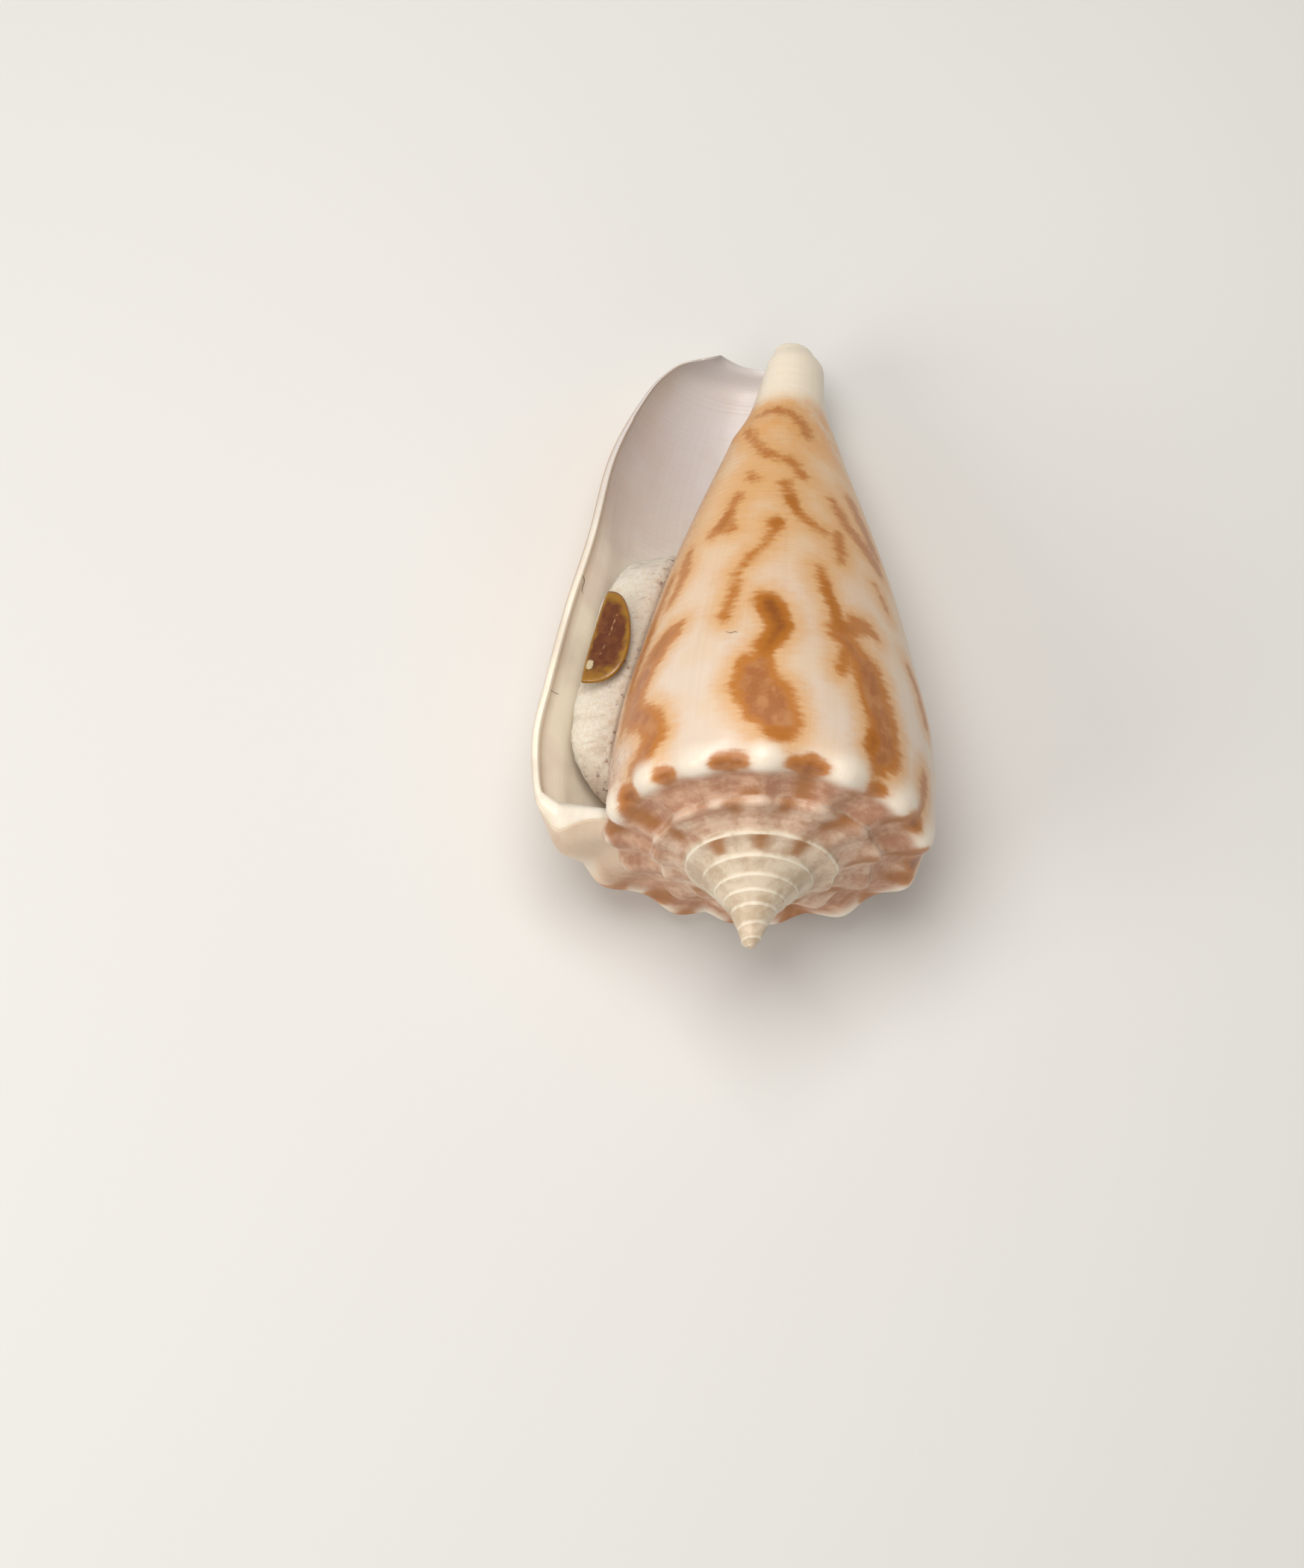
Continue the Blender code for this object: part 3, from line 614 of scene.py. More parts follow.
    def lip_edges(self):
        """Rounded edges of the outer lip and of the front margin."""
        last = self.last
        j = np.arange(1, last + 1)
        forward = place(np.array(-0.25), np.array(1.0), np.array(0.0))
        rings = self.rounded(self.outside(0, j), self.inside(0, j), forward)
        for near, far in zip(rings, rings[1:]):
            corners = [near[:-1], far[:-1], far[1:], near[1:]]
            self.add_faces(corners, corners)
        start, wall = self.outside(0, 0), self.inside(0, 0)
        loop = [ring[0] for ring in rings]
        for a, b in zip(loop, loop[1:]):
            self.add_faces([np.array([k]) for k in (start, b, a, a)], [np.array([a])] * 4)
        end = loop[-1]
        self.add_faces([np.array([k]) for k in (start, wall, end, end)], [np.array([end])] * 4)
        i = np.arange(self.deep, 0)
        down = np.array([0.0, 0.0, -1.0])
        rings_low = self.rounded(self.outside(i, last), self.inside(i, last), down)
        rows = [np.append(ring, lip_ring[-1]) for ring, lip_ring in zip(rings_low, rings)]
        for near, far in zip(rows, rows[1:]):
            corners = [near[:-1], near[1:], far[1:], far[:-1]]
            self.add_faces(corners, corners)
        self.canal_corner = [ring[0] for ring in rings_low]

    def tip(self):
        """Round front end of the pillar."""
        last, deep = self.last, self.deep
        ring = np.append(self.outside(np.arange(deep - COLUMNS, deep + 1), last), self.canal_corner[1:])
        centre = self.points[ring].mean(axis=0)
        centre[2] = 0.0
        above = ring
        for step in range(1, TIP_RINGS):
            angle = math.pi / 2 * step / TIP_RINGS
            point = centre + (self.points[ring] - centre) * math.cos(angle)
            point[:, 2] = self.points[ring][:, 2] * (1 - math.sin(angle))
            below = self.new_points(point, self.coil[ring])
            self.join(above, below)
            above = below
        end = self.new_points(centre[None], self.coil[ring[:1]])
        self.join(above, np.repeat(end, len(ring)))

    def join(self, above, below):
        """Add the quads between two closed rings."""
        corners = [above, np.roll(above, -1), np.roll(below, -1), below]
        self.add_faces(corners, corners)


def build_mesh(name, points, faces, uvs=None, attributes=None):
    """Mesh object from points in mm and an array of quads, where repeated corners make triangles."""
    corner_lists, uv_lists = [], []
    for k, face in enumerate(faces):
        keep = [c for c in range(len(face)) if face[c] not in face[:c]]
        if len(keep) < 3:
            continue
        corner_lists.append([int(face[c]) for c in keep])
        if uvs is not None:
            uv_lists.extend(uvs[k][c] for c in keep)
    used = np.unique(np.concatenate([np.array(c) for c in corner_lists]))
    renumber = np.full(len(points), -1)
    renumber[used] = np.arange(len(used))
    mesh = bpy.data.meshes.new(name)
    mesh.from_pydata((points[used] * MM).tolist(), [], [[int(renumber[c]) for c in f] for f in corner_lists])
    if uvs is not None:
        layer = mesh.uv_layers.new(name="coil")
        layer.uv.foreach_set("vector", np.array(uv_lists, np.float32).ravel())
    for key, values in (attributes or {}).items():
        data = mesh.attributes.new(key, "FLOAT", "POINT")
        data.data.foreach_set("value", np.asarray(values, np.float32)[used])
    mesh.shade_smooth()
    item = bpy.data.objects.new(name, mesh)
    bpy.context.scene.collection.objects.link(item)
    return item


def srgb(*colour):
    """Linear colour from 0-255 values as a screen shows them."""
    c = np.array(colour) / 255
    return (*np.where(c <= 0.04045, c / 12.92, ((c + 0.055) / 1.055) ** 2.4), 1.0)


class Nodes:
    """Short names for building a material's node tree."""

    def __init__(self, name):
        self.material = bpy.data.materials.new(name)
        self.material.use_nodes = True
        self.tree = self.material.node_tree
        self.shader = self.tree.nodes["Principled BSDF"]

    def node(self, kind, **settings):
        node = self.tree.nodes.new(kind)
        for key, value in settings.items():
            setattr(node, key, value)
        return node

    def link(self, source, target):
        """Link a socket, or set a plain value."""
        if isinstance(source, (int, float, tuple)):
            target.default_value = source
        else:
            self.tree.links.new(source, target)

    def attribute(self, name):
        return self.node("ShaderNodeAttribute", attribute_name=name).outputs["Fac"]

    def coil(self, turn_scale, row_scale):
        """Vector (turn, row) of the coil, scaled for line patterns."""
        uv = self.node("ShaderNodeUVMap", uv_map="coil").outputs["UV"]
        scale = self.node("ShaderNodeVectorMath", operation="MULTIPLY")
        self.link(uv, scale.inputs[0])
        scale.inputs[1].default_value = (turn_scale, row_scale, 0.0)
        return scale.outputs[0]

    def row(self):
        """Row of the coil alone."""
        split = self.node("ShaderNodeSeparateXYZ")
        self.link(self.node("ShaderNodeUVMap", uv_map="coil").outputs["UV"], split.inputs[0])
        return split.outputs["Y"]

    def position(self):
        """Place on the object, in millimetres."""
        scale = self.node("ShaderNodeVectorMath", operation="SCALE")
        self.link(self.node("ShaderNodeTexCoord").outputs["Object"], scale.inputs[0])
        scale.inputs["Scale"].default_value = 1 / MM
        return scale.outputs[0]

    def noise(self, vector, scale, detail=3.0, roughness=0.5, distortion=0.0):
        node = self.node("ShaderNodeTexNoise")
        self.link(vector, node.inputs["Vector"])
        for key, value in (("Scale", scale), ("Detail", detail), ("Roughness", roughness),
                           ("Distortion", distortion)):
            node.inputs[key].default_value = value
        return node.outputs["Fac"]

    def math(self, operation, *values):
        node = self.node("ShaderNodeMath", operation=operation)
        for value, socket in zip(values, node.inputs):
            self.link(value, socket)
        return node.outputs[0]

    def times(self, a, b):
        return self.math("MULTIPLY", a, b)

    def plus(self, a, b):
        return self.math("ADD", a, b)

    def centred(self, value):
        """Noise that runs from -0.5 to 0.5."""
        return self.math("SUBTRACT", value, 0.5)

    def shifted(self, value, *shifts):
        """The value plus each shift times its weight."""
        for shift, weight in shifts:
            value = self.plus(value, self.times(shift, weight))
        return value

    def step(self, value, start, end):
        """Smooth 0 to 1 as value goes from start to end."""
        node = self.node("ShaderNodeMapRange", interpolation_type="SMOOTHSTEP")
        self.link(value, node.inputs["Value"])
        node.inputs["From Min"].default_value = start
        node.inputs["From Max"].default_value = end
        return node.outputs["Result"]

    def mix(self, factor, a, b, blend="MIX"):
        """Mix of two colours; inputs 6 and 7 and output 2 are the node's colour sockets."""
        node = self.node("ShaderNodeMix", data_type="RGBA", blend_type=blend)
        self.link(factor, node.inputs["Factor"])
        self.link(a, node.inputs[6])
        self.link(b, node.inputs[7])
        return node.outputs[2]

    def paint(self, colour, mask, amount, tone):
        """The colour with a tone, in screen values, laid over it where the mask is 1."""
        return self.mix(mask if amount == 1 else self.times(mask, amount), colour, srgb(*tone))

    def mottled(self, mask, tone, other):
        """Patches of two tones, in screen values: the first where the mask is 0."""
        return self.mix(mask, srgb(*tone), srgb(*other))

    def bump(self, height, strength, distance_mm, normal=None):
        node = self.node("ShaderNodeBump")
        node.inputs["Strength"].default_value = strength
        node.inputs["Distance"].default_value = distance_mm * MM
        self.link(height, node.inputs["Height"])
        if normal is not None:
            self.link(normal, node.inputs["Normal"])
        return node.outputs["Normal"]

    def finish(self, colour, roughness, normal=None, **sockets):
        self.link(colour, self.shader.inputs["Base Color"])
        self.link(roughness, self.shader.inputs["Roughness"])
        if normal is not None:
            self.link(normal, self.shader.inputs["Normal"])
        for key, value in sockets.items():
            self.shader.inputs[key.replace("_", " ")].default_value = value
        return self.material


class Porcelain(Nodes):
    """The shell's material, with the noises and distances that its regions share."""

    def __init__(self):
        super().__init__("cone shell porcelain")
        self.place_mm = self.position()
        self.share = self.attribute("share")
        self.ramp = self.attribute("on_ramp")
        self.cloud = self.noise(self.place_mm, 0.35, 2.0)
        self.mottle = self.noise(self.place_mm, 1.1, 4.0, 0.6)
        self.growth = self.noise(self.coil(260.0, 1.2), 1.0, 4.0, 0.65)
        self.wobble = self.centred(self.noise(self.place_mm, 0.7, 2.0, 0.5))
        zigzag = self.centred(self.noise(self.coil(26.0, 75.0), 1.0, 3.0, 0.6))
        fray = self.centred(self.noise(self.coil(60.0, 110.0), 1.0, 4.0, 0.7))
        self.flame = self.shifted(self.attribute("flame_mm"), (self.wobble, 0.6), (zigzag, 0.5), (fray, 0.9))
        self.dark = self.shifted(self.attribute("dark_mm"), (self.wobble, 0.5), (fray, 0.4))
        row = self.shifted(self.row(), (self.wobble, 0.08))
        lines = self.math("SINE", self.times(row, 2 * math.pi * SPIRAL_LINES))
        self.lines = self.times(lines, self.math("SUBTRACT", 1.0, self.attribute("spire")))


def side_colour(n):
    """Cream at the shoulder, peach at the front, orange flames with pinkish cores and a white tip."""
    ground = n.mottled(n.step(n.share, 0.75, 0.4), (228, 209, 190), (228, 184, 134))
    ground = n.paint(ground, n.step(n.cloud, 0.4, 0.65), 0.6, (228, 200, 166))
    front = n.times(n.step(n.share, 0.36, 0.2), n.step(n.noise(n.place_mm, 0.6, 4.0, 0.65), 0.42, 0.6))
    ground = n.paint(ground, front, 0.75, (226, 158, 84))
    colour = n.paint(ground, n.step(n.flame, 1.3, 0.0), 0.8, (222, 168, 104))
    colour = n.paint(colour, n.step(n.flame, 0.3, -0.22), 1, (190, 120, 46))
    core = n.mottled(n.step(n.mottle, 0.4, 0.65), (168, 104, 56), (190, 132, 82))
    colour = n.mix(n.times(n.step(n.flame, -0.15, -0.7), 0.9), colour, core)
    limb = n.attribute("limb")
    colour = n.paint(colour, n.times(limb, n.step(n.mottle, 0.3, 0.6)), 0.6, (182, 124, 86))
    colour = n.paint(colour, n.step(limb, 0.7, 1.0), 0.3, (186, 134, 120))
    speckles = n.times(limb, n.step(n.noise(n.place_mm, 3.2, 4.0, 0.7), 0.5, 0.62))
    colour = n.paint(colour, speckles, 0.5, (136, 82, 70))
    colour = n.paint(colour, n.step(n.dark, 0.3, -0.05), 0.9, (180, 108, 20))
    colour = n.paint(colour, n.step(n.dark, 0.0, -0.6), 1, (140, 76, 12))
    return n.paint(colour, n.step(n.share, 0.15, 0.1), 1, (238, 226, 206))


def ramp_colour(n):
    """Pinkish brown with fine spiral lines and brown rays; creamy with white ridges near the apex."""
    colour = n.mottled(n.step(n.mottle, 0.35, 0.7), (178, 126, 94), (212, 170, 140))
    before = n.mottled(n.step(n.mottle, 0.35, 0.65), (188, 144, 114), (218, 188, 162))
    colour = n.mix(n.attribute("inner_whorls"), colour, before)
    broken = n.step(n.noise(n.place_mm, 0.8, 3.0), 0.35, 0.65)
    colour = n.paint(colour, n.times(n.step(n.lines, 0.55, 1.0), broken), 0.22, (220, 178, 150))
    colour = n.paint(colour, n.step(n.lines, -0.7, -1.0), 0.08, (146, 92, 66))
    spire = n.mottled(n.step(n.mottle, 0.35, 0.65), (194, 172, 144), (220, 204, 180))
    colour = n.mix(n.attribute("spire"), colour, spire)
    colour = n.paint(colour, n.step(n.dark, 0.45, -0.3), 0.85, (160, 100, 38))
    colour = n.paint(colour, n.attribute("new_growth"), 1, (214, 188, 160))
    ridges = n.times(n.attribute("carina"), n.step(n.mottle, 0.25, 0.55))
    return n.paint(colour, ridges, 1, (232, 222, 202))


def with_knobs(n, colour):
    """White knobs, where no brown spot is."""
    white = n.mottled(n.attribute("inner_whorls"), (238, 226, 208), (214, 190, 170))
    knob = n.times(n.step(n.shifted(n.attribute("knob"), (n.wobble, 0.25)), 0.12, 0.8), 0.95)
    return n.mix(n.times(knob, n.step(n.dark, 0.05, 0.5)), colour, white)


def with_aperture(n, colour):
    """Cream at the lip with painted shade on its rim, lilac further in, and a thin callus along the pillar.
    """
    new_growth = n.times(n.attribute("new_growth"), n.step(n.share, 0.8, 0.95))
    colour = n.paint(colour, new_growth, 1, (216, 194, 168))
    inside = n.mottled(n.step(n.share, 0.12, 0.6), (220, 212, 210), (252, 244, 226))
    inside = n.paint(inside, n.step(n.cloud, 0.35, 0.6), 0.4, (216, 200, 190))
    # Painted shade: the lip's rim is darkened against the light from above that it catches
    inside = n.paint(inside, n.attribute("painted_rim_shade"), 0.75, (198, 184, 162))
    colour = n.mix(n.attribute("inside"), colour, inside)
    callus = n.mottled(n.step(n.mottle, 0.4, 0.6), (214, 184, 152), (186, 140, 112))
    return n.mix(n.times(n.attribute("callus"), 0.8), colour, callus)


def shell_relief(n, grain):
    """Growth lines, fine spiral threads towards the front, ridges on the ramps and a fine grain."""
    threads = n.times(n.noise(n.coil(3.0, 150.0), 1.0, 2.0, 0.5), n.step(n.share, 0.75, 0.4))
    growth = n.times(n.growth, n.math("SUBTRACT", 0.22, n.times(n.ramp, 0.2)))
    normal = n.bump(n.shifted(growth, (threads, 1.3)), 0.5, 0.06)
    normal = n.bump(n.times(n.lines, n.ramp), 0.12, 0.04, normal)
    return n.bump(grain, 0.25, 0.02, normal)


def shell_material():
    n = Porcelain()
    colour = with_knobs(n, n.mix(n.ramp, side_colour(n), ramp_colour(n)))
    colour = with_aperture(n, colour)
    growth_lines = n.times(n.step(n.growth, 0.35, 0.75), 0.06)
    colour = n.mix(growth_lines, colour, srgb(190, 150, 116), "MULTIPLY")
    grain = n.noise(n.place_mm, 9.0, 4.0, 0.6)
    roughness = n.shifted(n.plus(n.times(grain, 0.2), 0.3), (n.ramp, 0.2))
    normal = shell_relief(n, grain)
    return n.finish(colour, roughness, normal, Subsurface_Weight=0.2, Subsurface_Scale=0.0008,
                    Subsurface_Radius=(1.0, 0.6, 0.35), Coat_Weight=0.15, Coat_Roughness=0.18)


def region_masks(turn, row, inner):
    """Vertex attributes from 0 to 1 that tell the porcelain's regions apart."""
    before = turn < -1  # the whorls before the last one
    ramps = row < 1.05  # with their shoulders
    covered = row > 1.03  # sides below the next whorl's suture
    from_shoulder = np.where(row > 1, (row - 1) * SIDE_MM - 0.25, (1 - row) * RAMP_MM + 0.25)
    reach = np.where(row > 1, 0.85, 0.95) * np.where(before, 0.6, 1.0)
    knob = np.exp(-((from_shoulder / reach) ** 2)) * knob_share(turn, np.where(before, 0.017, 0.025))
    carina = np.exp(-(((row - 1) / np.where(row > 1, 0.005, 0.03)) ** 2))
    return {
        "share": np.clip(2 - row, 0, 1),
        "on_ramp": np.maximum(1 - ease(0.6, 1.02, row), ease(-0.97, -1.0, turn) * ramps),
        "inside": np.maximum(inner, ease(-1.0, -1.06, turn) * covered),
        # painted shade on the lip's rim
        "painted_rim_shade": inner * ease(-0.014, -0.002, turn),
        "spire": ease(-1.9, -3.2, turn) * ramps,
        "inner_whorls": ease(-1.0, -1.3, turn) * ramps,
        "knob": knob * ease(-2.6, -1.8, turn) * np.where(before, 0.6, 1.0),
        "carina": carina * ease(-1.6, -2.8, turn) * ease(-9.6, -8.6, turn),
        "callus": ease(-1.0, -1.012, turn) * (1 - ease(-1.03, -1.07, turn)) * covered,
        "limb": ease(-0.88, -1.0, turn) * (row > 1),
        "new_growth": ease(-0.15, -0.06, turn) * 0.85,
    }


def make_shell():
    form = FineShell()
    points = lie_down(form.points)
    points[:, 2] = np.maximum(points[:, 2], 0.0)  # the flat that it rests on
    turn, row = form.coil.T
    inner = row > INSIDE_ROWS - 0.5
    row = np.where(inner, row - INSIDE_ROWS, row)
    flame, dark = pattern(turn, row)
    attributes = {"flame_mm": flame, "dark_mm": dark, **region_masks(turn, row, inner)}
    faces, uvs = np.concatenate(form.faces), np.concatenate(form.uvs)
    item = build_mesh("shell_surface", points, faces, uvs, attributes)
    item.data.materials.append(shell_material())
    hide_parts("shell")
    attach(item, "root")
    return item


def cavity_point(turn, share, across):
    """Point between the aperture's walls: across runs from 0 on the pillar's side to 1 on the lip's."""
    row = 2 - share
    across = np.asarray(across)[..., None]
    return (1 - across) * parietal_point(turn, row) + across * inner_point(turn, row)


def squarish(value):
    """Sine or cosine of a section's angle, bent so that the section is nearly square."""
    return np.sign(value) * np.abs(value) ** PLUG_SQUARENESS


def plug_surface(along, angle):
    """Point of the plug's surface: along runs from -1 to 1, angle round its squarish section."""
    size = np.sqrt(np.clip(1 - np.abs(along) ** PLUG_ROUNDING, 0, 1))
    deep, wide = squarish(np.cos(angle)) * size, squarish(np.sin(angle)) * size
    turn = sum(PLUG_DEPTH) / 2 + (PLUG_DEPTH[1] - PLUG_DEPTH[0]) / 2 * deep
    share = sum(PLUG_HEIGHT) / 2 + (PLUG_HEIGHT[1] - PLUG_HEIGHT[0]) / 2 * along
    gap = np.linalg.norm(inner_point(turn, 2 - share) - parietal_point(turn, 2 - share), axis=-1)
    return cavity_point(turn, share, 0.5 + (0.5 - PLUG_CLEARANCE / gap) * wide)


def cotton_material():
    """Creamy white fluff, browner and speckled brown towards the pillar and the rear end, with painted shade
    in the hollows between its crumbs.
    """
    n = Nodes("cotton wool")
    place_mm = n.position()
    fluff = n.noise(place_mm, 5.5, 8.0, 0.75, 0.6)
    fibres = n.noise(place_mm, 16.0, 5.0, 0.7, 1.5)
    colour = n.mottled(n.step(fluff, 0.3, 0.7), (234, 218, 192), (252, 246, 232))
    # Painted shade: darker where the crumbs' surface sinks in
    colour = n.paint(colour, n.step(n.attribute("crumb_shade"), 0.1, -0.6), 0.4, (196, 166, 134))
    # Browner towards the pillar side and the rear end, with brown specks there
    pillar_and_rear_tint = n.attribute("pillar_and_rear_tint")
    colour = n.paint(colour, pillar_and_rear_tint, 0.35, (186, 144, 118))
    specks = n.step(n.noise(place_mm, 3.0, 4.0, 0.7), 0.56, 0.66)
    colour = n.paint(colour, n.times(specks, pillar_and_rear_tint), 0.75, (122, 66, 58))
    normal = n.bump(n.shifted(fluff, (fibres, 0.5)), 0.8, 0.12)
    return n.finish(colour, 0.95, normal, Subsurface_Weight=0.5, Subsurface_Scale=0.0008,
                    Subsurface_Radius=(1.0, 0.85, 0.7), Sheen_Weight=0.3, Sheen_Roughness=0.5)


def crumbs(points, scale, seed):
    """Fractal noise at each point, about -1 to 1, scale in lumps per mm."""
    flat = points.reshape(-1, 3) * scale + seed * SEED_STEP
    values = [noise.fractal(Vector(point), *FRACTAL) for point in flat]
    return np.array(values).reshape(points.shape[:-1])


def plug_faces():
    """Quads between the rings, and triangles at both ends, whose middle points come last."""
    around = np.arange(PLUG_SIDES)
    onward = (around + 1) % PLUG_SIDES
    start = PLUG_SIDES * np.arange(PLUG_RINGS)[:, None]
    near, far, low = start[:-1], start[1:], start[-1]
    sides = np.stack([near + around, near + onward, far + onward, far + around], -1).reshape(-1, 4)
    first = np.full(PLUG_SIDES, PLUG_RINGS * PLUG_SIDES)
    return np.concatenate([sides, np.stack([onward, around, first, first], -1),
                           np.stack([low + around, low + onward, first + 1, first + 1], -1)])


def make_plug():
    along = -np.cos(math.pi * (np.arange(PLUG_RINGS) + 0.5) / PLUG_RINGS)
    angle = 2 * math.pi * np.arange(PLUG_SIDES) / PLUG_SIDES
    along, angle = np.meshgrid(along, angle, indexing="ij")
    points = plug_surface(along, angle)
    away = points - points.mean(axis=1, keepdims=True)
    away = away / np.linalg.norm(away, axis=-1, keepdims=True)
    lumps, grains = crumbs(points, *LUMPS[:2]), crumbs(points, *GRAINS[:2])
    ragged = 1 + END_RAGGEDNESS * ease(-0.8, -1.0, along)
    points = points + away * (ragged * (LUMPS[2] * lumps + GRAINS[2] * np.abs(grains)))[..., None]
    points = points.reshape(-1, 3)
    ends = [points[:PLUG_SIDES].mean(axis=0), points[-PLUG_SIDES:].mean(axis=0)]
    points = lie_down(np.concatenate([points, ends]))
    # Browner towards the pillar side and the rear end
    pillar_and_rear_tint = np.maximum(ease(0.0, 1.0, -squarish(np.sin(angle))), ease(0.72, 0.9, along))
    # How far the crumbs sink in, for the painted shade in their hollows
    crumb_shade = lumps * 0.7 + grains * 0.6
    attributes = {"pillar_and_rear_tint": np.append(pillar_and_rear_tint, [0, 0]), "crumb_shade": np.append(crumb_shade, [0, 0])}
    item = build_mesh("cotton_wool", points, plug_faces(), attributes=attributes)
    item.data.materials.append(cotton_material())
    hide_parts("cotton_plug")
    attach(item, "root")
    return item


def operculum_material():
    """Dark horn with an olive rim, a broken line scratched into it and painted pale as a highlight, and a
    flake of glue.
    """
    n = Nodes("operculum horn")
    place_mm = n.position()
    scratch_and_glint = n.attribute("scratch_and_glint")
    rim = n.shifted(n.attribute("rim"), (n.centred(n.noise(place_mm, 1.8, 4.0)), 0.5))
    colour = n.mottled(n.step(rim, 0.05, 0.35), (158, 114, 34), (100, 52, 26))
    colour = n.paint(colour, n.step(n.noise(place_mm, 2.2, 3.0), 0.4, 0.7), 0.35, (146, 92, 44))
    # Painted highlight: the broken line is painted pale for glints; the bump below gives its real relief
    colour = n.paint(colour, n.step(scratch_and_glint, 0.35, 0.75), 1, (190, 150, 100))
    flake = n.times(n.attribute("flake"), n.plus(0.3, n.noise(place_mm, 8.0, 4.0, 0.7)))
    colour = n.paint(colour, n.step(flake, 0.35, 0.6), 1, (200, 184, 150))
    normal = n.bump(n.plus(n.noise(place_mm, 7.0, 4.0), scratch_and_glint), 0.5, 0.05)
    return n.finish(colour, 0.25, normal, Subsurface_Weight=0.25, Subsurface_Scale=0.0004,
                    Subsurface_Radius=(1.0, 0.5, 0.15), Coat_Weight=0.3, Coat_Roughness=0.15)


def operculum_axes():
    """Its middle on the plug, and the directions of its width, length and normal."""
    spot = [OPERCULUM_HEIGHT_SHARE, OPERCULUM_GAP_SHARE]
    turn = np.array(OPERCULUM_TURN)
    centre, ahead, aside = (
        Vector(lie_down(cavity_point(turn, np.array(share), np.array(across))))
        for share, across in (spot, (spot[0] + 0.05, spot[1]), (spot[0], spot[1] - 0.1))
    )
    along = (centre - ahead).normalized()
    normal = (aside - centre).cross(along).normalized()
    return centre, along.cross(normal), along, normal


def operculum_points():
    """Rings that shrink towards the middle, on top and below, and how far each point has shrunk."""
    angle = 2 * math.pi * np.arange(OPERCULUM_SIDES) / OPERCULUM_SIDES
    outer_edge = OPERCULUM_OUTER * np.maximum(np.sin(angle), 0) ** 0.75 * (1 + 0.25 * np.cos(angle))
    inner_edge = -OPERCULUM_INNER * np.abs(np.sin(angle)) ** 0.5
    outline_x = OPERCULUM_WIDTH * np.where(np.sin(angle) > 0, outer_edge, inner_edge)
    outline_y = -OPERCULUM_LENGTH / 2 * np.cos(angle)
    shrunk = np.arange(OPERCULUM_RINGS)[:, None] / OPERCULUM_RINGS
    size = 1 - shrunk
    middle = OPERCULUM_CENTRE * OPERCULUM_WIDTH
    dome = 0.5 * OPERCULUM_THICKNESS * (1 - size ** 4) ** 0.5
    x, y = outline_x * size + middle * shrunk, outline_y * size
    top, below = [np.stack(np.broadcast_arrays(x, y, height), -1)
                  for height in (dome - OPERCULUM_DISH * shrunk, -OPERCULUM_UNDERSIDE * dome)]
    ends = [[middle, 0, side_points[-1, 0, 2]] for side_points in (top, below)]
    points = np.concatenate([top.reshape(-1, 3), below[1:].reshape(-1, 3), ends])
    shrunk = np.repeat(shrunk, OPERCULUM_SIDES)
    return points, np.concatenate([shrunk, shrunk[OPERCULUM_SIDES:], [1.0, 1.0]])


def operculum_faces(middle):
    """Quads between the rings of both sides, which share the rim, and triangles at the middle points."""
    sides, rings = OPERCULUM_SIDES, OPERCULUM_RINGS
    around = np.arange(sides)
    onward = (around + 1) % sides
    faces = []
    for level in range(rings):
        for under in (0, 1):
            below = under * (rings - 1) * sides
            near, far = level * sides + below * (level > 0), (level + 1) * sides + below
            quad = [near + around, near + onward, far + onward, far + around]
            if level == rings - 1:
                quad[2:] = [np.full(sides, middle + under)] * 2
            faces.append(np.stack(quad[::-1] if under else quad, -1))
    return np.concatenate(faces)


def operculum_marks(x, y):
    """A broken line scratched along the face and painted pale as a highlight, and a flake of glue near its
    end.
    """
    broken = np.array([noise.noise(Vector((0.0, 3.1 * value, 5.0))) for value in y])
    # The broken line's mask, for both its scratched relief and its painted highlight
    line = np.exp(-(((x - 0.62 - 0.12 * y + 0.08 * broken) / 0.05) ** 2))
    scratch_and_glint = line * (broken > 0.02) * (np.abs(y) < 1.3) * 0.7
    flake = np.exp(-(((x - 0.12) / 0.22) ** 2) - ((y + 1.55) / 0.32) ** 2) * (1 + 0.8 * broken)
    return {"scratch_and_glint": scratch_and_glint, "flake": flake}


def make_operculum():
    """A slightly domed crescent with a thin rim."""
    centre, width, along, normal = (np.array(v) for v in operculum_axes())
    shape, shrunk = operculum_points()
    points = centre + shape @ np.stack([width, along, normal])
    attributes = {"rim": shrunk, **operculum_marks(shape[:, 0], shape[:, 1])}
    item = build_mesh("operculum_horn", points, operculum_faces(len(shape) - 2), attributes=attributes)
    item.data.materials.append(operculum_material())
    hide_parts("operculum")
    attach(item, "root")
    return item


def make_lint(carriers):
    """Three loose dark fibres, each lying on the surface that the camera sees at its pixel."""
    trees = [BVHTree.FromObject(item, bpy.context.evaluated_depsgraph_get()) for item in carriers]
    camera = bpy.context.scene.camera.matrix_world
    focal = PIXELS_PER_MM * VIEW_DISTANCE
    points, faces = [], []
    for pixels in LINT:
        path = []
        for x, y in pixels:
            ray = Vector(((x - IMAGE_WIDTH / 2) / focal, (IMAGE_HEIGHT / 2 - y) / focal, -1.0))
            ray = (camera.to_3x3() @ ray).normalized()
            hits = [tree.ray_cast(camera.translation, ray) for tree in trees]
            hit = min((h for h in hits if h[0] is not None), key=lambda h: h[3])
            path.append((hit[0] + hit[1] * LINT_RADIUS * MM) / MM)
        tube(path, points, faces)
    item = build_mesh("lint_fibres", np.array(points), np.array(faces))
    n = Nodes("lint")
    tone = n.noise(n.position(), 6.0, 2.0)
    item.data.materials.append(n.finish(n.mix(tone, srgb(96, 74, 56), srgb(126, 102, 80)), 0.7))
    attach(item, "root")


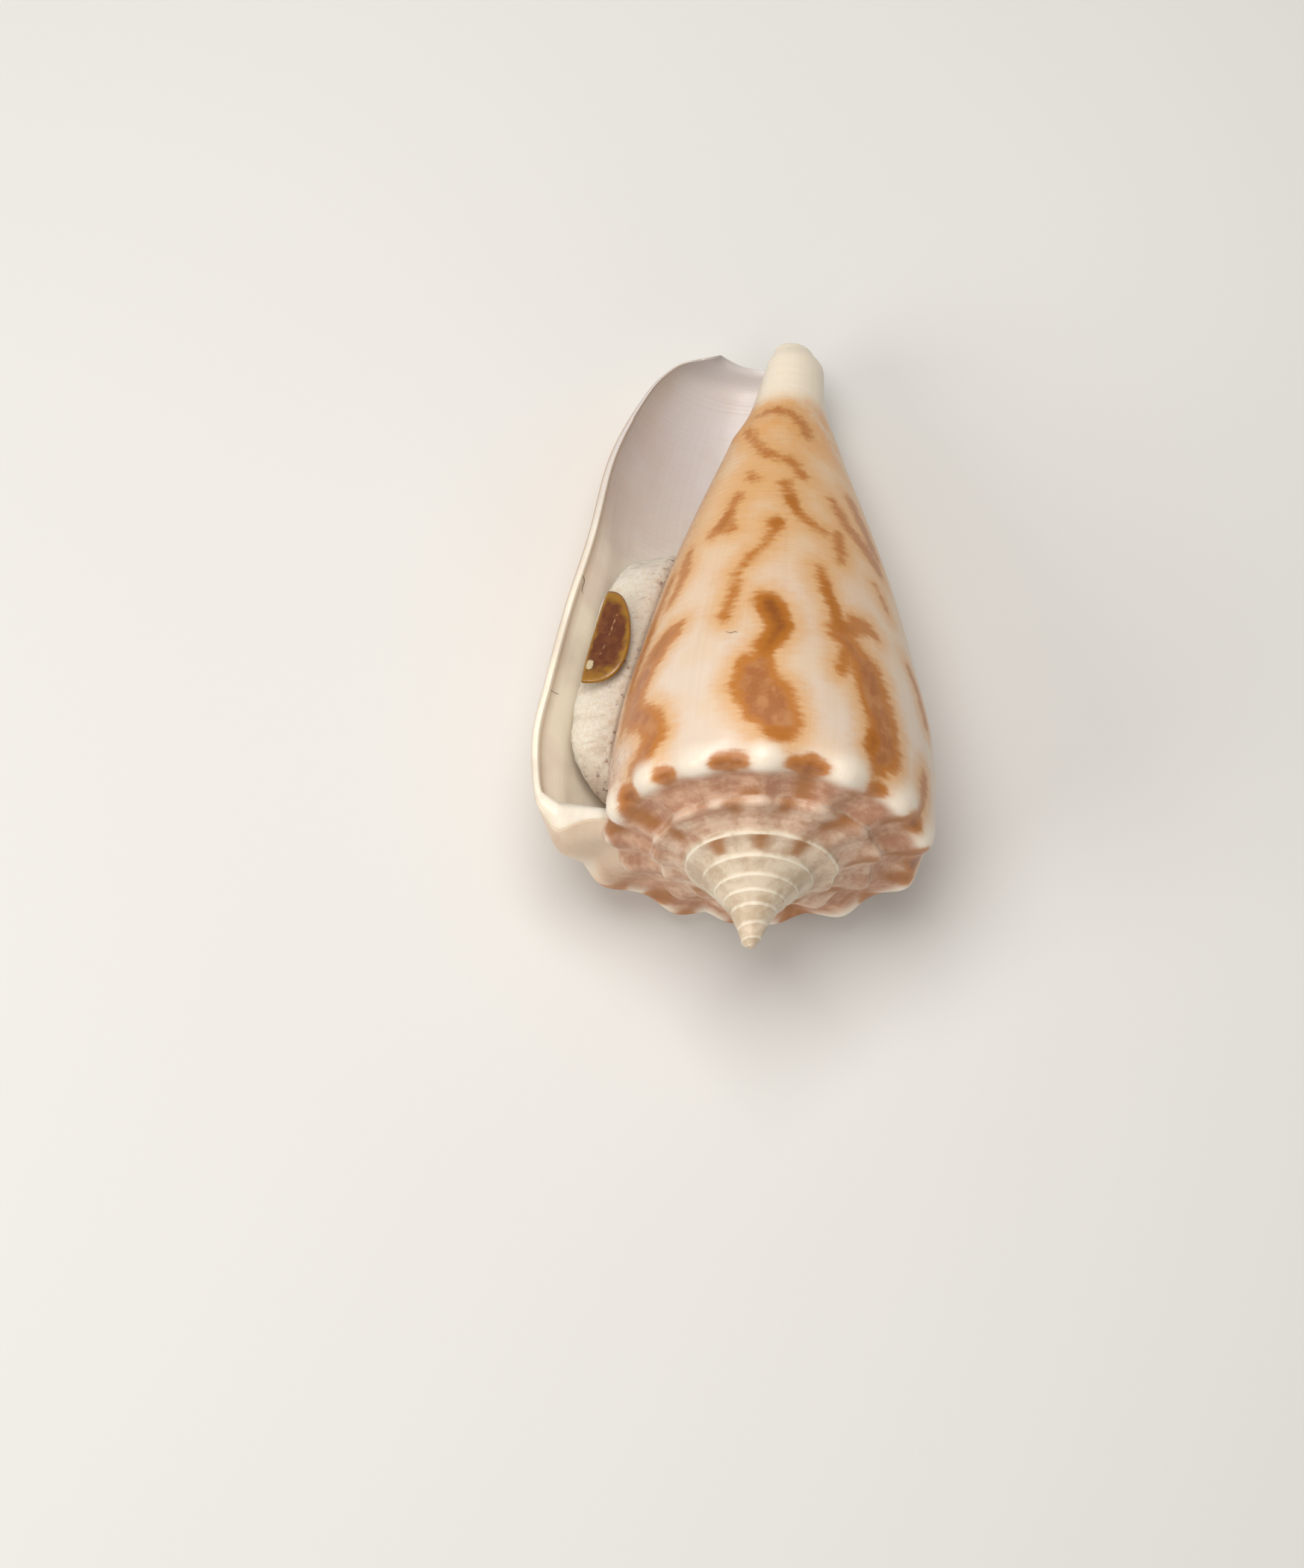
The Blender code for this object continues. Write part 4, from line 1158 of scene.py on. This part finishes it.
def tube(path, points, faces):
    """Add a closed round tube along a path of points in mm, thin at both ends."""
    start, count, sides = len(points), len(path), LINT_SIDES
    for k, place_on in enumerate(path):
        along = (Vector(path[min(k + 1, count - 1)]) - Vector(path[max(k - 1, 0)])).normalized()
        aside = along.orthogonal().normalized()
        up = along.cross(aside)
        size = LINT_RADIUS * (LINT_END if k in (0, count - 1) else 1.0)
        for j in range(sides):
            angle = 2 * math.pi * j / sides
            points.append(tuple(Vector(place_on) + size * (math.cos(angle) * aside + math.sin(angle) * up)))
    for k in range(count - 1):
        for j in range(sides):
            a, b = start + k * sides + j, start + k * sides + (j + 1) % sides
            faces.append((a, b, b + sides, a + sides))
    for level, turn in ((0, -1), (count - 1, 1)):
        end = start + level * sides
        for j in range(1, sides - 1):
            corners = (end, end + j, end + j + 1)[::turn]
            faces.append((*corners, corners[-1]))


def make_stage():
    """Pale floor and an even, slightly warm world."""
    mesh = bpy.data.meshes.new("floor")
    corners = [(-1, -1, 0), (1, -1, 0), (1, 1, 0), (-1, 1, 0)]
    mesh.from_pydata([Vector(corner) * FLOOR_HALF_METRES for corner in corners], [], [(0, 1, 2, 3)])
    floor = bpy.data.objects.new("floor", mesh)
    bpy.context.scene.collection.objects.link(floor)
    n = Nodes("pale floor")
    mesh.materials.append(n.finish(srgb(226, 225, 222), 0.8))
    world = bpy.data.worlds.new("studio")
    world.use_nodes = True
    background = world.node_tree.nodes["Background"]
    background.inputs["Color"].default_value = WORLD_COLOUR
    background.inputs["Strength"].default_value = WORLD_STRENGTH
    bpy.context.scene.world = world
    bpy.context.scene.view_settings.view_transform = "Standard"


def make_lights():
    for name, place_mm, target_mm, size_mm, power, colour in LIGHTS:
        light = bpy.data.lights.new(name, "AREA")
        light.shape = "SQUARE"
        light.size = size_mm * MM
        light.energy = power
        light.color = colour
        item = bpy.data.objects.new(name, light)
        item.location = Vector(place_mm) * MM
        item.rotation_euler = (Vector(target_mm) - Vector(place_mm)).to_track_quat("-Z", "Y").to_euler()
        bpy.context.scene.collection.objects.link(item)


def make_camera():
    """The photograph's view: the apex lands on its pixel at the set distance and scale."""
    view, lean = math.radians(VIEW_ANGLE), math.radians(LEAN_ANGLE)
    axis = np.array([-math.sin(lean) * math.cos(view), -math.cos(lean) * math.cos(view), math.sin(view)])
    facing = np.array([0.0, 0.0, 1.0]) - axis * axis[2]
    facing /= np.linalg.norm(facing)
    shell_to_camera = np.stack([np.cross(facing, axis), facing, axis], 1)
    focal = PIXELS_PER_MM * VIEW_DISTANCE
    x = (APEX_PIXEL[0] - IMAGE_WIDTH / 2) / focal * VIEW_DISTANCE
    y = -(APEX_PIXEL[1] - IMAGE_HEIGHT / 2) / focal * VIEW_DISTANCE
    offset = np.array([x, y, -VIEW_DISTANCE]) - shell_to_camera @ np.array([0.0, 0.0, LENGTH])
    place_in_shell = -shell_to_camera.T @ offset
    matrix = np.eye(4)
    matrix[:3, :3] = (lie_down(shell_to_camera) - SHIFT).T  # directions aren't shifted
    matrix[:3, 3] = lie_down(place_in_shell) * MM
    camera = bpy.data.cameras.new("camera")
    camera.sensor_fit = "HORIZONTAL"
    camera.sensor_width = SENSOR_WIDTH
    camera.lens = focal / IMAGE_WIDTH * SENSOR_WIDTH
    camera.clip_start, camera.clip_end = CLIP_METRES
    item = bpy.data.objects.new("camera", camera)
    item.matrix_world = Matrix(matrix.tolist())
    bpy.context.scene.collection.objects.link(item)
    bpy.context.scene.camera = item


make_camera()
pieces = [make_shell(), make_plug(), make_operculum()]
make_lint(pieces)
make_stage()
make_lights()
